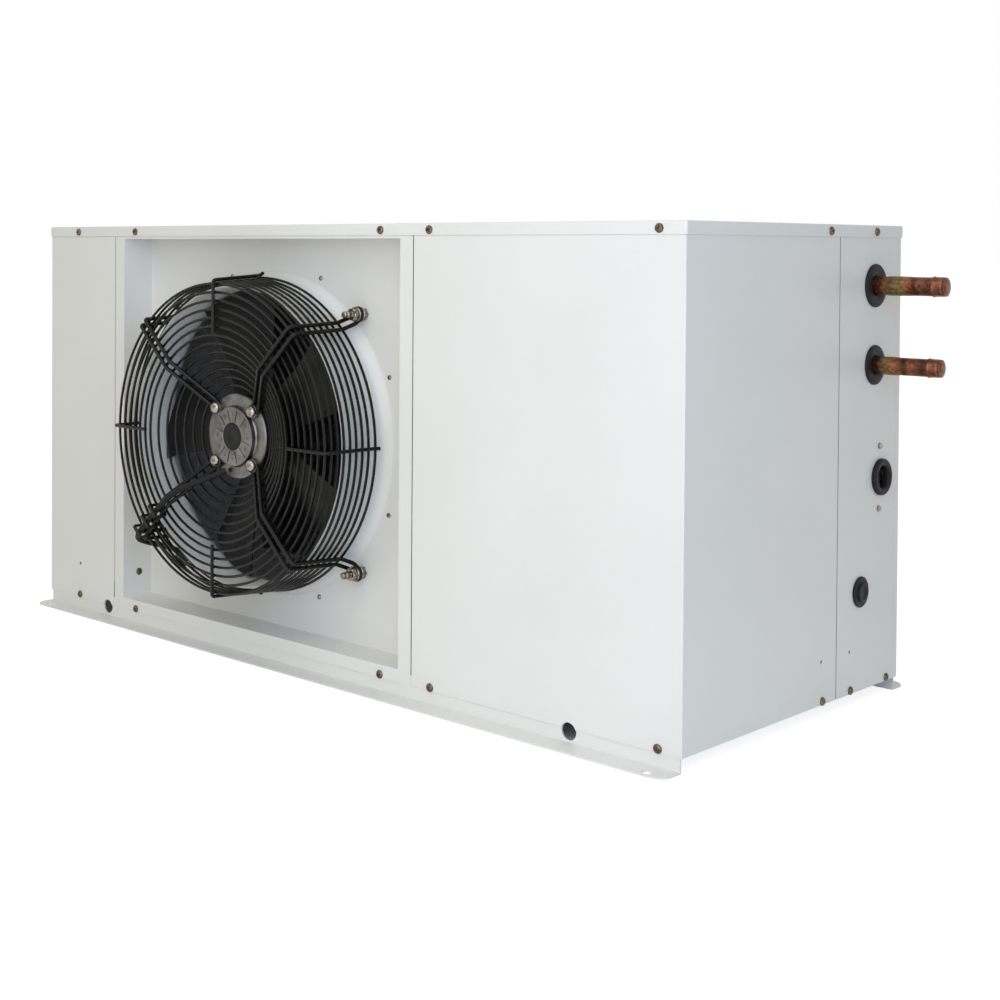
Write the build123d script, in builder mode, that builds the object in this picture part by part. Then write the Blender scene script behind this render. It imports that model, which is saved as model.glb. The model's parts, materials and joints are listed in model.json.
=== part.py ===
from build123d import *
import os
from math import atan2, cos, degrees, pi, radians, sin, sqrt

os.makedirs("parts", exist_ok=True)

# Air-cooled condensing unit: fan and condenser coil on the left, compressor
# and receiver on the right. X runs to the right of someone facing the fan,
# Y runs to the back, Z is up. The origin is the centre of the footprint on
# the floor.

# Cabinet
unit_length = 990.0
unit_depth = 426.0
unit_height = 510.0
sheet = 1.2
lid_gap = 0.25
lid_skirt = 12.8
cover_bottom = 15.4
seam_gap = 0.3
fold = 12.0
half_length = unit_length / 2
half_depth = unit_depth / 2
front_y = -half_depth
back_y = half_depth
inner_x = half_length - sheet
inner_y = half_depth - sheet
cover_top = unit_height - sheet
fold_bottom = 29.0
fold_top = cover_top - 2.0

# Base frame
rail_sheet = 2.0
rail_half_length = 492.3
rail_height = 25.0
rail_top_width = 27.8
foot_width = 29.7
foot_corner = 15.0
foot_hole_r = 5.0
foot_hole_x = 470.3
foot_hole_y = 231.9
handling_x = 368.0
handling_z = 12.6
handling_r = 8.75
pan_sheet = 1.5
pan_top = rail_height + pan_sheet
pan_skirt_bottom = 15.6
pan_skirt_gap = 0.3

# Seams
seam_left = -353.3
seam_right = 163.0
side_seam = 76.0
side_strip = 203.4
slot_bottom = 27.0
slot_height = 20.0
slot_width = 1.8

# Screws
screw_r = 2.0
screw_fit = 0.05
screw_head_r = 4.6
screw_head_height = 2.4
screw_length = 9.0
screw_bottom_z = 19.3
screw_top_z = 503.0
front_bottom_screws = (-428.3, -308.9, 117.4, 189.6, 469.3)
front_top_screws = (-431.5, -310.8, 116.0, 186.0, 467.2)
right_bottom_screws = (47.6, 107.0, 187.1)
right_top_screws = (54.2, 153.5)
left_bottom_screws = (-150.0, 0.0, 150.0)
left_top_screws = (-150.0, 150.0)
rear_bottom_screws = (-482.0, 200.0, 460.0)
rear_top_screws = (-482.0, -150.0, 200.0, 460.0)
pilot_r = 2.0
pilot_z = 60.2
pilot_front_x = -428.5
pilot_side_y = (45.4, 105.0)
recess_screw_y = -187.4

# Recessed fan panel
recess_left = -334.9
recess_right = 143.9
recess_bottom = 29.9
recess_top = 493.8
recess_depth = 45.6
fan_x = -99.0
fan_z = 261.2
lip_outer_r = 194.0
lip_hole_gap = 0.3
throat_r = 175.3
throat_front = -20.0
nozzle_sheet = 1.2
nozzle_sides = 32
flare_front = 27.0
nozzle_flange_r = 213.0
nozzle_screw_circle = 202.0
nozzle_screw_count = 8
nozzle_screw_r = 1.5
nozzle_head_r = 2.9
nozzle_head_height = 1.8
panel_back = recess_depth + sheet

# Guard
arm_wire = 4.8
ring_wire = 3.2
arm_offset = 5.2
guard_front = -54.0
weld_gap = 0.25
ring_front = guard_front + (arm_wire + ring_wire) / 2 + weld_gap
ring_pitch = 10.0
ring_inner_r = 120.0
ring_outer_r = 180.0
corner_reach = 4.4
cone_ring_start_r = 60.0
cone_r = 115.0
hub_screw_circle = 44.5
flange_front = -17.0
arm_hub = flange_front - arm_wire / 2 - weld_gap
slope_start_r = 53.5
guard_rear = 20.0
guard_rear_r = 189.0
side_ring_count = 8
last_ring_rel = 23.5
last_ring_r = 186.1
spoke_wire = 4.2
spoke_end_rel = 25.0
spoke_end_r = 191.9
stud_circle = 208.0
stud_r = 4.0
stud_tip = 11.5
eye_offset = 7.1
eye_reach = 10.5
loop_rel = 34.4
nut_width = 13.0
nut_height = 6.5
washer_r = 8.5
washer_height = 1.6
spoke_inner_r = 124.0
arm_angles = (45, 135, 225, 315)
spoke_angles = (0, 90, 180, 270)

# Fan motor
motor_flange_r = 50.5
flange_thickness = 6.0
flange_disc_r = 35.0
flange_disc_front = -24.0
cap_r = 16.0
motor_screw_r = 2.5
motor_screw_end = flange_front + flange_thickness - 0.5
dome_r = 7.5
dome_height = 5.0
sleeve_r = 16.0
sleeve_end = 50.0
bearing_r = 11.0
bearing_width = 7.0
bearing_front = -19.0
bearing_rear = 42.0
shaft_r = 4.0
shaft_fit = 0.05
stator_r = 44.0
stator_front = -4.0
stator_end = 44.0
can_r = 51.0
can_wall = 3.0
can_front = -6.0
can_end = 58.0
blade_count = 5
blade_tip_r = 172.0
blade_front = -2.0
blade_back = 52.0
blade_thickness = 2.2
blade_pitch = 20.0
blade_turn = 99.0

# Motor cable
cable_r = 3.6
cable_front = guard_front - arm_wire / 2 - cable_r - 1.0
grommet_x = -271.0
grommet_z = 84.0
grommet_r = 9.0
grommet_flange = 2.5
cable_lane = 38.0
tie_width = 4.5
tie_thickness = 1.2

# Coil
coil_left = -468.0
coil_right = 148.0
coil_front = 160.0
coil_depth = 44.0
coil_bottom = 29.0
coil_rows = 12
coil_pitch = 39.5
coil_row_y = (171.0, 193.0)
coil_tube_r = 4.8
coil_bend_reach = 12.0
end_plate_fold = 12.0
divider_x = 170.0
header_height = 28.0

# Connections
grommet_bite = 2.0
suction_y = 153.0
suction_z = 445.6
suction_r = 10.0
suction_grommet_r = 23.3
liquid_y = 152.7
liquid_z = 360.8
liquid_r = 9.4
liquid_grommet_r = 21.4
tube_wall = 1.0
stub_start = 488.0
suction_tip = 574.0
liquid_tip = 570.0
cap_length = 15.0
cap_wall = 0.7
grommet_fit = 0.05
sight_y = 169.0
sight_z = 239.4
sight_grommet_r = 19.85
sight_hole_r = 12.5
sight_proud = 5.0
sight_screw_spots = ((166.8, 272.9), (165.6, 205.4))
sight_screw_head_r = 3.4
plug_y = 126.0
plug_z = 121.0
plug_r = 16.5

# Refrigerant side
comp_x = 325.0
comp_y = -70.0
comp_r = 85.0
comp_bottom = 61.0
comp_top = 385.0
comp_dome = 22.0
comp_plate = 3.0
comp_plate_size = 200.0
mount_spot = 82.0
mount_r = 14.0
mount_hole_r = 4.05
mount_bolt_r = 4.0
receiver_x = 262.0
receiver_y = 140.0
receiver_r = 48.0
receiver_bottom = 44.0
receiver_top = 315.0
valve_size = 26.0
valve_height = 34.0
riser_x = 455.0
drier_r = 27.0
drier_bottom = 92.0
drier_top = 188.0
drier_spigot_r = 11.5
drier_low_end = 78.0
drier_high_end = 214.0
sight_body_r = 12.0
sight_body_top = 262.0
sight_barrel_r = 16.0
sight_barrel_end = 483.0
window_r = 12.0
window_thickness = 2.0
small_tube_r = 6.35
box_depth = 58.0
box_front = -200.0
box_back = -62.0
box_bottom = 200.0
box_top = 400.0

# Shared shapes, how far a cut runs past a sheet, and counts of flat sides
fan_axis = Axis((fan_x, front_y, fan_z), (0, 1, 0))
past = 1.0
through = 4.0
plain_sides = 8
middle_sides = 12
smooth_sides = 16
round_sides = 24


def fan_face(rel):
    """Plane across the fan axis, rel behind the cabinet's front face."""
    return Plane(
        origin=(fan_x, front_y + rel, fan_z), x_dir=(1, 0, 0), z_dir=(0, -1, 0)
    )


def around(radius, angle, rel, side=0.0):
    """Point at a radius and angle about the fan axis, moved sideways."""
    a = radians(angle)
    x = fan_x + radius * cos(a) - side * sin(a)
    z = fan_z + radius * sin(a) + side * cos(a)
    return (x, front_y + rel, z)


def slab(x0, x1, y0, y1, z0, z1, mode=Mode.ADD):
    """Box between two corners."""
    with Locations(((x0 + x1) / 2, (y0 + y1) / 2, (z0 + z1) / 2)):
        Box(x1 - x0, y1 - y0, z1 - z0, mode=mode)


def rod_x(radius, x0, x1, y, z, mode=Mode.ADD):
    """Round bar along X."""
    with Locations(((x0 + x1) / 2, y, z)):
        Cylinder(radius, abs(x1 - x0), rotation=(0, 90, 0), mode=mode)


def rod_y(radius, x, y0, y1, z, mode=Mode.ADD):
    """Round bar along Y."""
    with Locations((x, (y0 + y1) / 2, z)):
        Cylinder(radius, abs(y1 - y0), rotation=(90, 0, 0), mode=mode)


def rod_z(radius, x, y, z0, z1, mode=Mode.ADD):
    """Round bar along Z."""
    with Locations((x, y, (z0 + z1) / 2)):
        Cylinder(radius, z1 - z0, mode=mode)


def pin_x(radius, x0, x1, y, z, mode=Mode.ADD, sides=plain_sides):
    """Small bar along X with flat sides, for screws and their holes."""
    with BuildSketch(Plane((x0, y, z), (0, 1, 0), (1, 0, 0))) as section:
        RegularPolygon(radius, sides)
    extrude(section.sketch, amount=x1 - x0, mode=mode)


def pin_y(radius, x, y0, y1, z, mode=Mode.ADD, sides=plain_sides):
    """Small bar along Y with flat sides, for screws and their holes."""
    with BuildSketch(Plane((x, y0, z), (1, 0, 0), (0, 1, 0))) as section:
        RegularPolygon(radius, sides)
    extrude(section.sketch, amount=y1 - y0, mode=mode)


def collar(outer_r, start, end, bore_r=0.0, mode=Mode.ADD, sides=round_sides):
    """Flat-sided collar about the fan axis between two depths."""
    with BuildSketch(fan_face(start)) as section:
        RegularPolygon(outer_r, sides)
        if bore_r:
            RegularPolygon(bore_r, sides, mode=Mode.SUBTRACT)
    extrude(section.sketch, amount=start - end, mode=mode)


def drum(x, y, radius, z0, z1, mode=Mode.ADD, sides=round_sides):
    """Upright flat-sided drum between two heights."""
    with BuildSketch(Plane.XY.offset(z0)) as section:
        with Locations((x, y)):
            RegularPolygon(radius, sides)
    extrude(section.sketch, amount=z1 - z0, mode=mode)


def wire_along(points, across):
    """Eight-sided bar of the given width along straight runs."""
    with BuildLine() as path:
        Polyline(*points)
    with BuildSketch(path.line ^ 0) as section:
        RegularPolygon(across / 2, 8, major_radius=False)
    sweep(section.sketch, path=path.line, transition=Transition.RIGHT)


def fold_x(x0, y0, inward):
    """Stiffening fold at a seam of a front cover."""
    slab(x0, x0 + sheet, y0, y0 + inward, fold_bottom, fold_top)


# Base rails
def rail(side):
    """Bent rail with its foot flange, on the front or the rear side."""
    outer = inner_y
    tip = inner_y + foot_width
    profile = (
        (side * (outer - rail_top_width), rail_height - rail_sheet),
        (side * (outer - rail_top_width), rail_height),
        (side * outer, rail_height),
        (side * outer, rail_sheet),
        (side * tip, rail_sheet),
        (side * tip, 0),
        (side * (outer - rail_sheet), 0),
        (side * (outer - rail_sheet), rail_height - rail_sheet),
    )
    with BuildSketch(Plane.YZ) as section:
        with BuildLine():
            Polyline(*profile, close=True)
        make_face()
    extrude(section.sketch, amount=rail_half_length, both=True)
    corners = edges().filter_by(Axis.Z).group_by(SortBy.DISTANCE)[-1]
    fillet(corners, foot_corner)
    for hole_x in (-foot_hole_x, foot_hole_x):
        rod_z(foot_hole_r, hole_x, side * foot_hole_y, -past, through, Mode.SUBTRACT)
    for hole_x in (-handling_x, handling_x):
        rod_y(
            handling_r, hole_x, side * (outer - through), side * (outer + through),
            handling_z, Mode.SUBTRACT,
        )


with BuildPart() as front_rail:
    rail(-1)
    for spot in front_bottom_screws:
        pin_y(screw_r + screw_fit, spot, -inner_y - through, -inner_y + through,
              screw_bottom_z, Mode.SUBTRACT)
front_rail.part.label = "front_rail"
export_step(front_rail.part, "parts/front_rail.step")

with BuildPart() as rear_rail:
    rail(1)
    for spot in rear_bottom_screws:
        pin_y(screw_r + screw_fit, spot, inner_y - through, inner_y + through,
              screw_bottom_z, Mode.SUBTRACT)
rear_rail.part.label = "rear_rail"
export_step(rear_rail.part, "parts/rear_rail.step")

# Base pan
skirt_y = inner_y - rail_sheet - pan_skirt_gap
with BuildPart() as base_pan:
    slab(-inner_x, inner_x, -inner_y, inner_y, rail_height, pan_top)
    slab(rail_half_length, inner_x, -skirt_y, skirt_y,
         pan_skirt_bottom, rail_height)
    slab(-inner_x, -rail_half_length, -skirt_y, skirt_y,
         pan_skirt_bottom, rail_height)
    for spot in right_bottom_screws:
        pin_x(screw_r + screw_fit, inner_x - through, inner_x + through, spot,
              screw_bottom_z, Mode.SUBTRACT)
    for spot in left_bottom_screws:
        pin_x(screw_r + screw_fit, -inner_x - through, -inner_x + through, spot,
              screw_bottom_z, Mode.SUBTRACT)
base_pan.part.label = "base_pan"
export_step(base_pan.part, "parts/base_pan.step")

# Lid
lid_x = half_length + lid_gap + sheet
lid_y = half_depth + lid_gap + sheet
lid_corner = 2.5
lid_edge = 1.5
with BuildPart() as lid:
    slab(-lid_x, lid_x, -lid_y, lid_y, unit_height - lid_skirt, unit_height)
    fillet(lid.edges().filter_by(Axis.Z), lid_corner)
    fillet(lid.faces().sort_by(Axis.Z)[-1].edges(), lid_edge)
    slab(sheet - lid_x, lid_x - sheet, sheet - lid_y, lid_y - sheet,
         unit_height - lid_skirt, cover_top, Mode.SUBTRACT)
    for spot in front_top_screws:
        pin_y(screw_r + screw_fit, spot, -lid_y - 2, -inner_y, screw_top_z,
              Mode.SUBTRACT)
    for spot in rear_top_screws:
        pin_y(screw_r + screw_fit, spot, inner_y, lid_y + 2, screw_top_z,
              Mode.SUBTRACT)
    for spot in right_top_screws:
        pin_x(screw_r + screw_fit, inner_x, lid_x + 2, spot, screw_top_z,
              Mode.SUBTRACT)
    for spot in left_top_screws:
        pin_x(screw_r + screw_fit, -lid_x - 2, -inner_x, spot, screw_top_z,
              Mode.SUBTRACT)
lid.part.label = "lid"
export_step(lid.part, "parts/lid.step")


# Covers
def front_screw_holes(left, right):
    """Screw holes of the front row between two seams."""
    for spots, z in (
        (front_bottom_screws, screw_bottom_z),
        (front_top_screws, screw_top_z),
    ):
        for spot in spots:
            if left < spot < right:
                pin_y(screw_r + screw_fit, spot, front_y - past, front_y + through, z,
                      Mode.SUBTRACT)


def side_screw_holes(side, low, high):
    """Screw holes of a side cover between two seams."""
    rows = ((right_bottom_screws, screw_bottom_z), (right_top_screws, screw_top_z))
    if side < 0:
        rows = ((left_bottom_screws, screw_bottom_z), (left_top_screws, screw_top_z))
    for spots, z in rows:
        for spot in spots:
            if low < spot < high:
                pin_x(screw_r + screw_fit, side * (inner_x - past),
                      side * (half_length + past), spot, z, Mode.SUBTRACT)


def rear_screw_holes(left, right):
    """Screw holes of the rear row between two seams."""
    for spots, z in (
        (rear_bottom_screws, screw_bottom_z),
        (rear_top_screws, screw_top_z),
    ):
        for spot in spots:
            if left < spot < right:
                pin_y(screw_r + screw_fit, spot, back_y - through, back_y + past, z,
                      Mode.SUBTRACT)


half_seam = seam_gap / 2
left_return = 25.0
corner_round = 1.0
with BuildPart() as left_cover:
    left_edge = seam_left - half_seam
    slab(-half_length, left_edge, front_y, front_y + sheet,
         cover_bottom, cover_top)
    slab(-half_length, -inner_x, front_y, back_y, cover_bottom, cover_top)
    slab(-half_length, left_return - half_length, inner_y, back_y,
         cover_bottom, cover_top)
    fold_x(left_edge - sheet, front_y, fold)
    outer_corners = left_cover.edges().filter_by(Axis.Z).group_by(Axis.X)[0]
    fillet(outer_corners, corner_round)
    slab(left_edge - slot_width, left_edge + past, front_y - past, front_y + through,
         slot_bottom, slot_bottom + slot_height, Mode.SUBTRACT)
    rod_y(handling_r, -handling_x, front_y - past, front_y + through, handling_z,
          Mode.SUBTRACT)
    pin_y(pilot_r, pilot_front_x, front_y - past, front_y + through, pilot_z,
          Mode.SUBTRACT)
    front_screw_holes(-half_length, seam_left)
    side_screw_holes(-1, front_y, back_y)
    rear_screw_holes(-half_length, left_return - half_length)
left_cover.part.label = "left_cover"
export_step(left_cover.part, "parts/left_cover.step")

with BuildPart() as fan_panel:
    panel_left = seam_left + half_seam
    panel_right = seam_right - half_seam
    slab(panel_left, panel_right, front_y, front_y + sheet,
         cover_bottom, cover_top)
    slab(recess_left - sheet, recess_right + sheet, front_y,
         front_y + panel_back, recess_bottom - sheet, recess_top + sheet)
    slab(recess_left, recess_right, front_y - past, front_y + recess_depth,
         recess_bottom, recess_top, Mode.SUBTRACT)
    fold_x(panel_left, front_y, fold)
    fold_x(panel_right - sheet, front_y, fold)
    collar(lip_outer_r + lip_hole_gap, recess_depth - past, panel_back + past,
           mode=Mode.SUBTRACT, sides=nozzle_sides)
    for angle in arm_angles:
        x, y, z = around(stud_circle, angle, recess_depth)
        pin_y(stud_r + screw_fit, x, y - past, y + through, z, Mode.SUBTRACT)
    for k in range(nozzle_screw_count):
        turn = 360 / nozzle_screw_count
        x, y, z = around(nozzle_screw_circle, turn * (k + 0.5), recess_depth)
        pin_y(nozzle_screw_r + screw_fit, x, y - past, y + through, z, Mode.SUBTRACT)
    pin_y(grommet_r, grommet_x, front_y + recess_depth - past,
          front_y + panel_back + past, grommet_z, Mode.SUBTRACT, smooth_sides)
    pin_x(screw_r + screw_fit, recess_left - sheet - past, recess_left + past,
          recess_screw_y, pilot_z, Mode.SUBTRACT)
    front_screw_holes(seam_left, seam_right)
fan_panel.part.label = "fan_panel"
export_step(fan_panel.part, "parts/fan_panel.step")

nozzle_back = panel_back + nozzle_sheet
flare_outside = (
    (throat_r + nozzle_sheet, flare_front),
    (178.5, 35.0),
    (183.5, 41.5),
    (lip_outer_r, panel_back),
)
flare_inside = (
    (throat_r, flare_front),
    (177.3, 35.6),
    (182.6, 42.4),
    (193.2, nozzle_back),
)


def flare(steps, mode=Mode.ADD):
    """Flat-sided cones that widen from the throat towards the back."""
    for (small_r, near), (large_r, far) in zip(steps, steps[1:]):
        widening = (large_r - small_r) * cos(pi / nozzle_sides)
        with BuildSketch(fan_face(far)) as section:
            RegularPolygon(large_r, nozzle_sides)
        extrude(section.sketch, amount=far - near,
                taper=degrees(atan2(widening, far - near)), mode=mode)


with BuildPart() as nozzle_ring:
    collar(nozzle_flange_r, panel_back, nozzle_back, sides=nozzle_sides)
    flare(flare_outside)
    collar(throat_r + nozzle_sheet, throat_front, flare_front,
           sides=nozzle_sides)
    flare(flare_inside, Mode.SUBTRACT)
    collar(throat_r, throat_front, flare_front, mode=Mode.SUBTRACT,
           sides=nozzle_sides)
    for angle in arm_angles:
        x, y, z = around(stud_circle, angle, panel_back)
        pin_y(stud_r + screw_fit, x, y - past, y + through, z, Mode.SUBTRACT)
    for k in range(nozzle_screw_count):
        turn = 360 / nozzle_screw_count
        x, y, z = around(nozzle_screw_circle, turn * (k + 0.5), panel_back)
        pin_y(nozzle_screw_r + screw_fit, x, y - past, y + through, z, Mode.SUBTRACT)
nozzle_ring.part.label = "nozzle_ring"
export_step(nozzle_ring.part, "parts/nozzle_ring.step")

with BuildPart() as front_right_cover:
    cover_left = seam_right + half_seam
    cover_rear = side_seam - half_seam
    slab(cover_left, half_length, front_y, front_y + sheet,
         cover_bottom, cover_top)
    slab(inner_x, half_length, front_y, cover_rear, cover_bottom, cover_top)
    fold_x(cover_left, front_y, fold)
    slab(half_length - fold, half_length, cover_rear - sheet, cover_rear,
         fold_bottom, fold_top)
    corner_edge = front_right_cover.edges().filter_by(Axis.Z)
    corner_edge = corner_edge.group_by(Axis.X)[-1].group_by(Axis.Y)[0]
    fillet(corner_edge, corner_round)
    rod_y(handling_r, handling_x, front_y - past, front_y + through, handling_z,
          Mode.SUBTRACT)
    pin_x(pilot_r, inner_x - past, half_length + past, pilot_side_y[0], pilot_z,
          Mode.SUBTRACT)
    front_screw_holes(seam_right, half_length)
    side_screw_holes(1, front_y, side_seam)
front_right_cover.part.label = "front_right_cover"
export_step(front_right_cover.part, "parts/front_right_cover.step")

with BuildPart() as connection_panel:
    panel_front = side_seam + half_seam
    panel_rear = side_strip - half_seam
    slab(inner_x, half_length, panel_front, panel_rear,
         cover_bottom, cover_top)
    slab(half_length - fold, half_length, panel_front, panel_front + sheet,
         fold_bottom, fold_top)
    slab(half_length - fold, half_length, panel_rear - sheet, panel_rear,
         fold_bottom, fold_top)
    for y, z, radius in (
        (suction_y, suction_z, suction_grommet_r - grommet_bite),
        (liquid_y, liquid_z, liquid_grommet_r - grommet_bite),
        (sight_y, sight_z, sight_grommet_r - grommet_bite),
        (plug_y, plug_z, plug_r - grommet_bite),
        (pilot_side_y[1], pilot_z, pilot_r),
    ):
        pin_x(radius, inner_x - past, half_length + past, y, z, Mode.SUBTRACT, round_sides)
    for y, z in sight_screw_spots:
        pin_x(nozzle_screw_r + screw_fit, inner_x - past, half_length + past, y, z,
              Mode.SUBTRACT)
    side_screw_holes(1, side_seam, side_strip)
connection_panel.part.label = "connection_panel"
export_step(connection_panel.part, "parts/connection_panel.step")

with BuildPart() as rear_panel:
    strip_front = side_strip + half_seam
    slab(seam_right + half_seam, half_length, inner_y, back_y,
         cover_bottom, cover_top)
    slab(inner_x, half_length, strip_front, back_y, cover_bottom, cover_top)
    slab(half_length - fold, half_length, strip_front, strip_front + sheet,
         fold_bottom, fold_top)
    corner_edge = rear_panel.edges().filter_by(Axis.Z)
    corner_edge = corner_edge.group_by(Axis.X)[-1].group_by(Axis.Y)[-1]
    fillet(corner_edge, corner_round)
    rear_screw_holes(seam_right, half_length)
rear_panel.part.label = "rear_panel"
export_step(rear_panel.part, "parts/rear_panel.step")

with BuildPart() as rear_header:
    header_left = left_return - half_length + seam_gap
    header_right = seam_right - half_seam
    slab(header_left, header_right, inner_y, back_y,
         cover_top - header_height, cover_top)
    slab(header_left, header_right, inner_y - fold / 2, inner_y,
         cover_top - sheet, cover_top)
    rear_screw_holes(header_left, header_right)
rear_header.part.label = "rear_header"
export_step(rear_header.part, "parts/rear_header.step")

# Divider
top_tube_z = coil_bottom + coil_pitch * (coil_rows - 0.5)
low_tube_z = coil_bottom + coil_pitch / 2
hot_y = (coil_row_y[0] + coil_row_y[1]) / 2
pipe_room = 3.0
lane_y = -120.0
with BuildPart() as divider:
    slab(divider_x, divider_x + sheet, -inner_y, inner_y, pan_top, cover_top)
    slab(divider_x, divider_x + fold, -inner_y, inner_y,
         pan_top, pan_top + sheet)
    pin_x(small_tube_r + pipe_room, divider_x - past, divider_x + through, hot_y,
          top_tube_z, Mode.SUBTRACT)
    pin_x(small_tube_r + pipe_room, divider_x - past, divider_x + through, hot_y,
          low_tube_z, Mode.SUBTRACT)
    pin_x(cable_r + pipe_room, divider_x - past, divider_x + through, lane_y,
          cable_lane, Mode.SUBTRACT)
divider.part.label = "divider"
export_step(divider.part, "parts/divider.step")

# Condenser coil
coil_top = coil_bottom + coil_pitch * coil_rows
coil_back = coil_front + coil_depth
with BuildPart() as coil_core:
    slab(coil_left, coil_right, coil_front, coil_back, coil_bottom, coil_top)
coil_core.part.label = "coil_core"
export_step(coil_core.part, "parts/coil_core.step")

with BuildPart() as coil_end_plates:
    for edge, way in ((coil_left, -1), (coil_right, 1)):
        near, far = sorted((edge, edge + way * sheet))
        slab(near, far, coil_front - 4, inner_y, pan_top, coil_top + 2)
        near, far = sorted((edge, edge + way * end_plate_fold))
        slab(near, far, inner_y - sheet, inner_y, pan_top, coil_top + 2)
coil_end_plates.part.label = "coil_end_plates"
export_step(coil_end_plates.part, "parts/coil_end_plates.step")


def return_bend(plate, way, y, z):
    """U bend that joins two coil tubes one above the other."""
    far = plate + way * coil_bend_reach
    wire_along(
        (
            (plate, y, z),
            (far, y, z),
            (far, y, z + coil_pitch),
            (plate, y, z + coil_pitch),
        ),
        2 * coil_tube_r,
    )


with BuildPart() as coil_bends:
    for row_y in coil_row_y:
        for k in range(0, coil_rows, 2):
            return_bend(coil_left - sheet, -1, row_y,
                        low_tube_z + coil_pitch * k)
        for k in range(1, coil_rows - 2, 2):
            return_bend(coil_right + sheet, 1, row_y,
                        low_tube_z + coil_pitch * k)
coil_bends.part.label = "coil_bends"
export_step(coil_bends.part, "parts/coil_bends.step")


# Fan guard
def guard_ring(radius, rel):
    """Wire ring about the fan axis with flat sides."""
    with BuildSketch(fan_face(rel - ring_wire / 2)) as section:
        RegularPolygon(radius + ring_wire / 2, ring_sides)
        RegularPolygon(radius - ring_wire / 2, ring_sides, mode=Mode.SUBTRACT)
    extrude(section.sketch, amount=-ring_wire)


def arm_rel(radius):
    """Depth of an arm on the sloping part between hub and front."""
    share = (radius - slope_start_r) / (cone_r - slope_start_r)
    return arm_hub + share * (guard_front - arm_hub)


ring_sides = 24
corner_r = ring_outer_r + corner_reach
cone_angle = atan2(arm_hub - guard_front, cone_r - slope_start_r)
ring_drop = (arm_wire + ring_wire) / 2 + weld_gap
with BuildPart() as guard_rings:
    radius = cone_ring_start_r
    while radius < cone_r:
        below = arm_rel(radius) + (ring_drop + 1.0) / cos(cone_angle)
        guard_ring(radius, below)
        radius += ring_pitch
    radius = ring_inner_r
    while radius <= ring_outer_r:
        guard_ring(radius, ring_front)
        radius += ring_pitch
    for k in range(1, side_ring_count):
        rel = ring_front + k / side_ring_count * (last_ring_rel - ring_front)
        share = (rel - guard_front) / (guard_rear - guard_front)
        line_r = corner_r + share * (guard_rear_r - corner_r)
        guard_ring(line_r - ring_drop, rel)
    guard_ring(last_ring_r, last_ring_rel)
guard_rings.part.label = "guard_rings"
export_step(guard_rings.part, "parts/guard_rings.step")

eye_front = loop_rel
arm_end_gap = 0.8
with BuildPart() as guard_arms:
    for angle in arm_angles:
        leg = (
            (slope_start_r, arm_hub, arm_offset),
            (cone_r, guard_front, arm_offset),
            (corner_r, guard_front, arm_offset),
            (guard_rear_r, guard_rear, arm_offset),
            (stud_circle - eye_reach, eye_front, arm_offset),
            (stud_circle, eye_front, eye_offset),
            (stud_circle + eye_offset, eye_front, eye_offset / 2),
        )
        hub = hub_screw_circle - arm_offset
        points = [around(hub, angle, arm_hub, arm_end_gap / 2)]
        points.append(around(hub, angle, arm_hub, arm_offset))
        points += [around(r, angle, rel, side) for r, rel, side in leg]
        points += [around(r, angle, rel, -side) for r, rel, side in leg[::-1]]
        points.append(around(hub, angle, arm_hub, -arm_offset))
        points.append(around(hub, angle, arm_hub, -arm_end_gap / 2))
        wire_along(points, arm_wire)
guard_arms.part.label = "guard_arms"
export_step(guard_arms.part, "parts/guard_arms.step")

with BuildPart() as guard_spokes:
    for angle in spoke_angles:
        leg = (
            (spoke_inner_r, guard_front),
            (corner_r, guard_front),
            (guard_rear_r, guard_rear),
            (spoke_end_r, spoke_end_rel),
        )
        wire_along([around(r, angle, rel) for r, rel in leg], spoke_wire)
guard_spokes.part.label = "guard_spokes"
export_step(guard_spokes.part, "parts/guard_spokes.step")

# Guard fasteners
washer_back = loop_rel + arm_wire / 2 + weld_gap
washer_front = loop_rel - arm_wire / 2 - weld_gap
nut_back_end = nozzle_back + nut_height
with BuildPart() as guard_studs:
    for angle in arm_angles:
        x, y, z = around(stud_circle, angle, 0)
        pin_y(stud_r, x, front_y + stud_tip, front_y + nut_back_end + 2, z)
guard_studs.part.label = "guard_studs"
export_step(guard_studs.part, "parts/guard_studs.step")


def stud_nut(angle, start):
    """Hexagon nut on a guard stud, from start backwards."""
    with BuildSketch(fan_face(start)) as section:
        with Locations((stud_circle * cos(radians(angle)),
                        stud_circle * sin(radians(angle)))):
            RegularPolygon(nut_width / 2, 6, major_radius=False)
            RegularPolygon(stud_r + screw_fit, 8, mode=Mode.SUBTRACT)
    extrude(section.sketch, amount=-nut_height)


def stud_washer(angle, start, height):
    """Round washer on a guard stud, from start backwards."""
    with BuildSketch(fan_face(start)) as section:
        with Locations((stud_circle * cos(radians(angle)),
                        stud_circle * sin(radians(angle)))):
            RegularPolygon(washer_r, 16)
            RegularPolygon(stud_r + screw_fit, 8, mode=Mode.SUBTRACT)
    extrude(section.sketch, amount=-height)


with BuildPart() as guard_nuts:
    for angle in arm_angles:
        stud_nut(angle, washer_front - washer_height - nut_height)
        stud_nut(angle, recess_depth - nut_height)
        stud_nut(angle, nozzle_back)
guard_nuts.part.label = "guard_nuts"
export_step(guard_nuts.part, "parts/guard_nuts.step")

with BuildPart() as guard_washers:
    for angle in arm_angles:
        stud_washer(angle, washer_front - washer_height, washer_height)
        stud_washer(angle, washer_back,
                    recess_depth - nut_height - washer_back)
guard_washers.part.label = "guard_washers"
export_step(guard_washers.part, "parts/guard_washers.step")

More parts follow.
